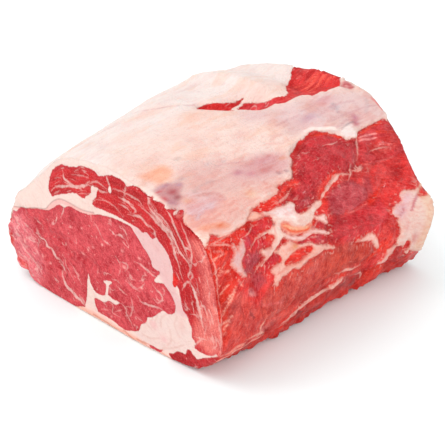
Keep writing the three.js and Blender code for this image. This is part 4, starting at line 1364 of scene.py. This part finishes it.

# The fat: cream, with pink and amber drawn into long creases over the back, and salmon at its thin edges.
# Its raised edge on the back is creamier, partly its own colour and partly a painted highlight, and its
# hollows get painted shade.
PINK_SHADE, AMBER_SHADE, CREAM_AND_HIGHLIGHT = (0.90, 0.62, 0.60), (0.99, 0.76, 0.62), (0.86, 0.68, 0.60)
GRAIN_SHADE, DIP_SHADE, THREAD_SHADE = (0.90, 0.80, 0.80), (0.78, 0.52, 0.52), (0.94, 0.64, 0.60)
SALMON, AMBER_SHIFT = (0.86, 0.36, 0.25), (40, 70, 90)
fat_tint = beef.drawn("fat_colour", "Color")
crease = beef.noise(warped, 0.26, 4.0, 0.62)
patch = beef.noise(place, 0.045, 3.0, 0.6)
pinkness = (crease + (patch - 0.5) * 0.9).rise(0.40, 0.74) * (fleck * 0.9 + 0.1)
pale = beef.blend(pinkness * 0.8, fat_tint, beef.shaded(fat_tint, PINK_SHADE))
amber = beef.noise(beef.vector("ADD", warped, AMBER_SHIFT), 0.10, 3.0, 0.6).rise(0.50, 0.66)
pale = beef.blend(amber * 0.4 * on_back, pale, beef.shaded(fat_tint, AMBER_SHADE))
# The raised edge of the fat on the back: creamier, partly its own colour and partly a painted highlight.
cream_and_highlight_edge = fat_depth.rise(3.0, 0.6) * on_back * (frayed + 0.6)
pale = beef.blend(cream_and_highlight_edge * 0.6, pale, CREAM_AND_HIGHLIGHT)
pale = beef.blend(granule.rise(0.52, 0.30) * 0.5, pale, beef.shaded(pale, GRAIN_SHADE))
# Painted shade in the hollows of the fat.
pale = beef.blend(hollow_shade * 0.25, pale, beef.shaded(pale, DIP_SHADE))
pink_threads = beef.noise(warped, 0.5, 3.0, 0.6).rise(0.46, 0.62) * on_lip
pale = beef.blend(pink_threads * 0.5, pale, beef.shaded(fat_tint, THREAD_SHADE))
pale = beef.blend(fat_depth.rise(2.2, 0.0) * on_lip * 0.4, pale, SALMON)

# Lean and fat together, thin wisps of membrane on the lean, the fine pits, and the moist gloss.
WISP_REACH = 8.0
wisps = beef.noise(warped, 0.55, 1.5, 0.4).rise(0.57, 0.66) * fat_depth.rise(-WISP_REACH, -0.5)
wisps = wisps * on_skin * (patch + 0.2)
marbled = fat_here.over(seam_here * 0.92).over(marbling).over(wisps * 0.55)
pits = beef.noise(place, 0.7, 3.0, 0.6) + (fibre - 0.5) * on_lip * (1 - fat_here) * 0.5
height = fat_here * 0.6 + pits * 0.9 + crease * on_back * 0.6 + frayed * 0.4 + broken * 0.8
moist = beef.noise(place, 0.11, 2.0).rise(0.45, 0.65) * on_skin + 0.15
beef.set(
    Base_Color=beef.blend(marbled, red, pale),
    Normal=beef.node("ShaderNodeBump", {}, {"Height": height, "Distance": MM, "Strength": 0.8}),
    Roughness=0.40 + marbled * 0.14 + beef.noise(place, 0.2, 2.0) * 0.12,
    Coat_Weight=moist * (1 - marbled * 0.6) * 0.36, Coat_Roughness=0.16, Subsurface_Weight=0.12,
    Subsurface_Radius=(1.0, 0.30, 0.22), Subsurface_Scale=2 * MM, Specular_IOR_Level=0.07)
joint.data.materials.append(beef.material)

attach(joint, "root")
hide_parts("ribeye_joint")
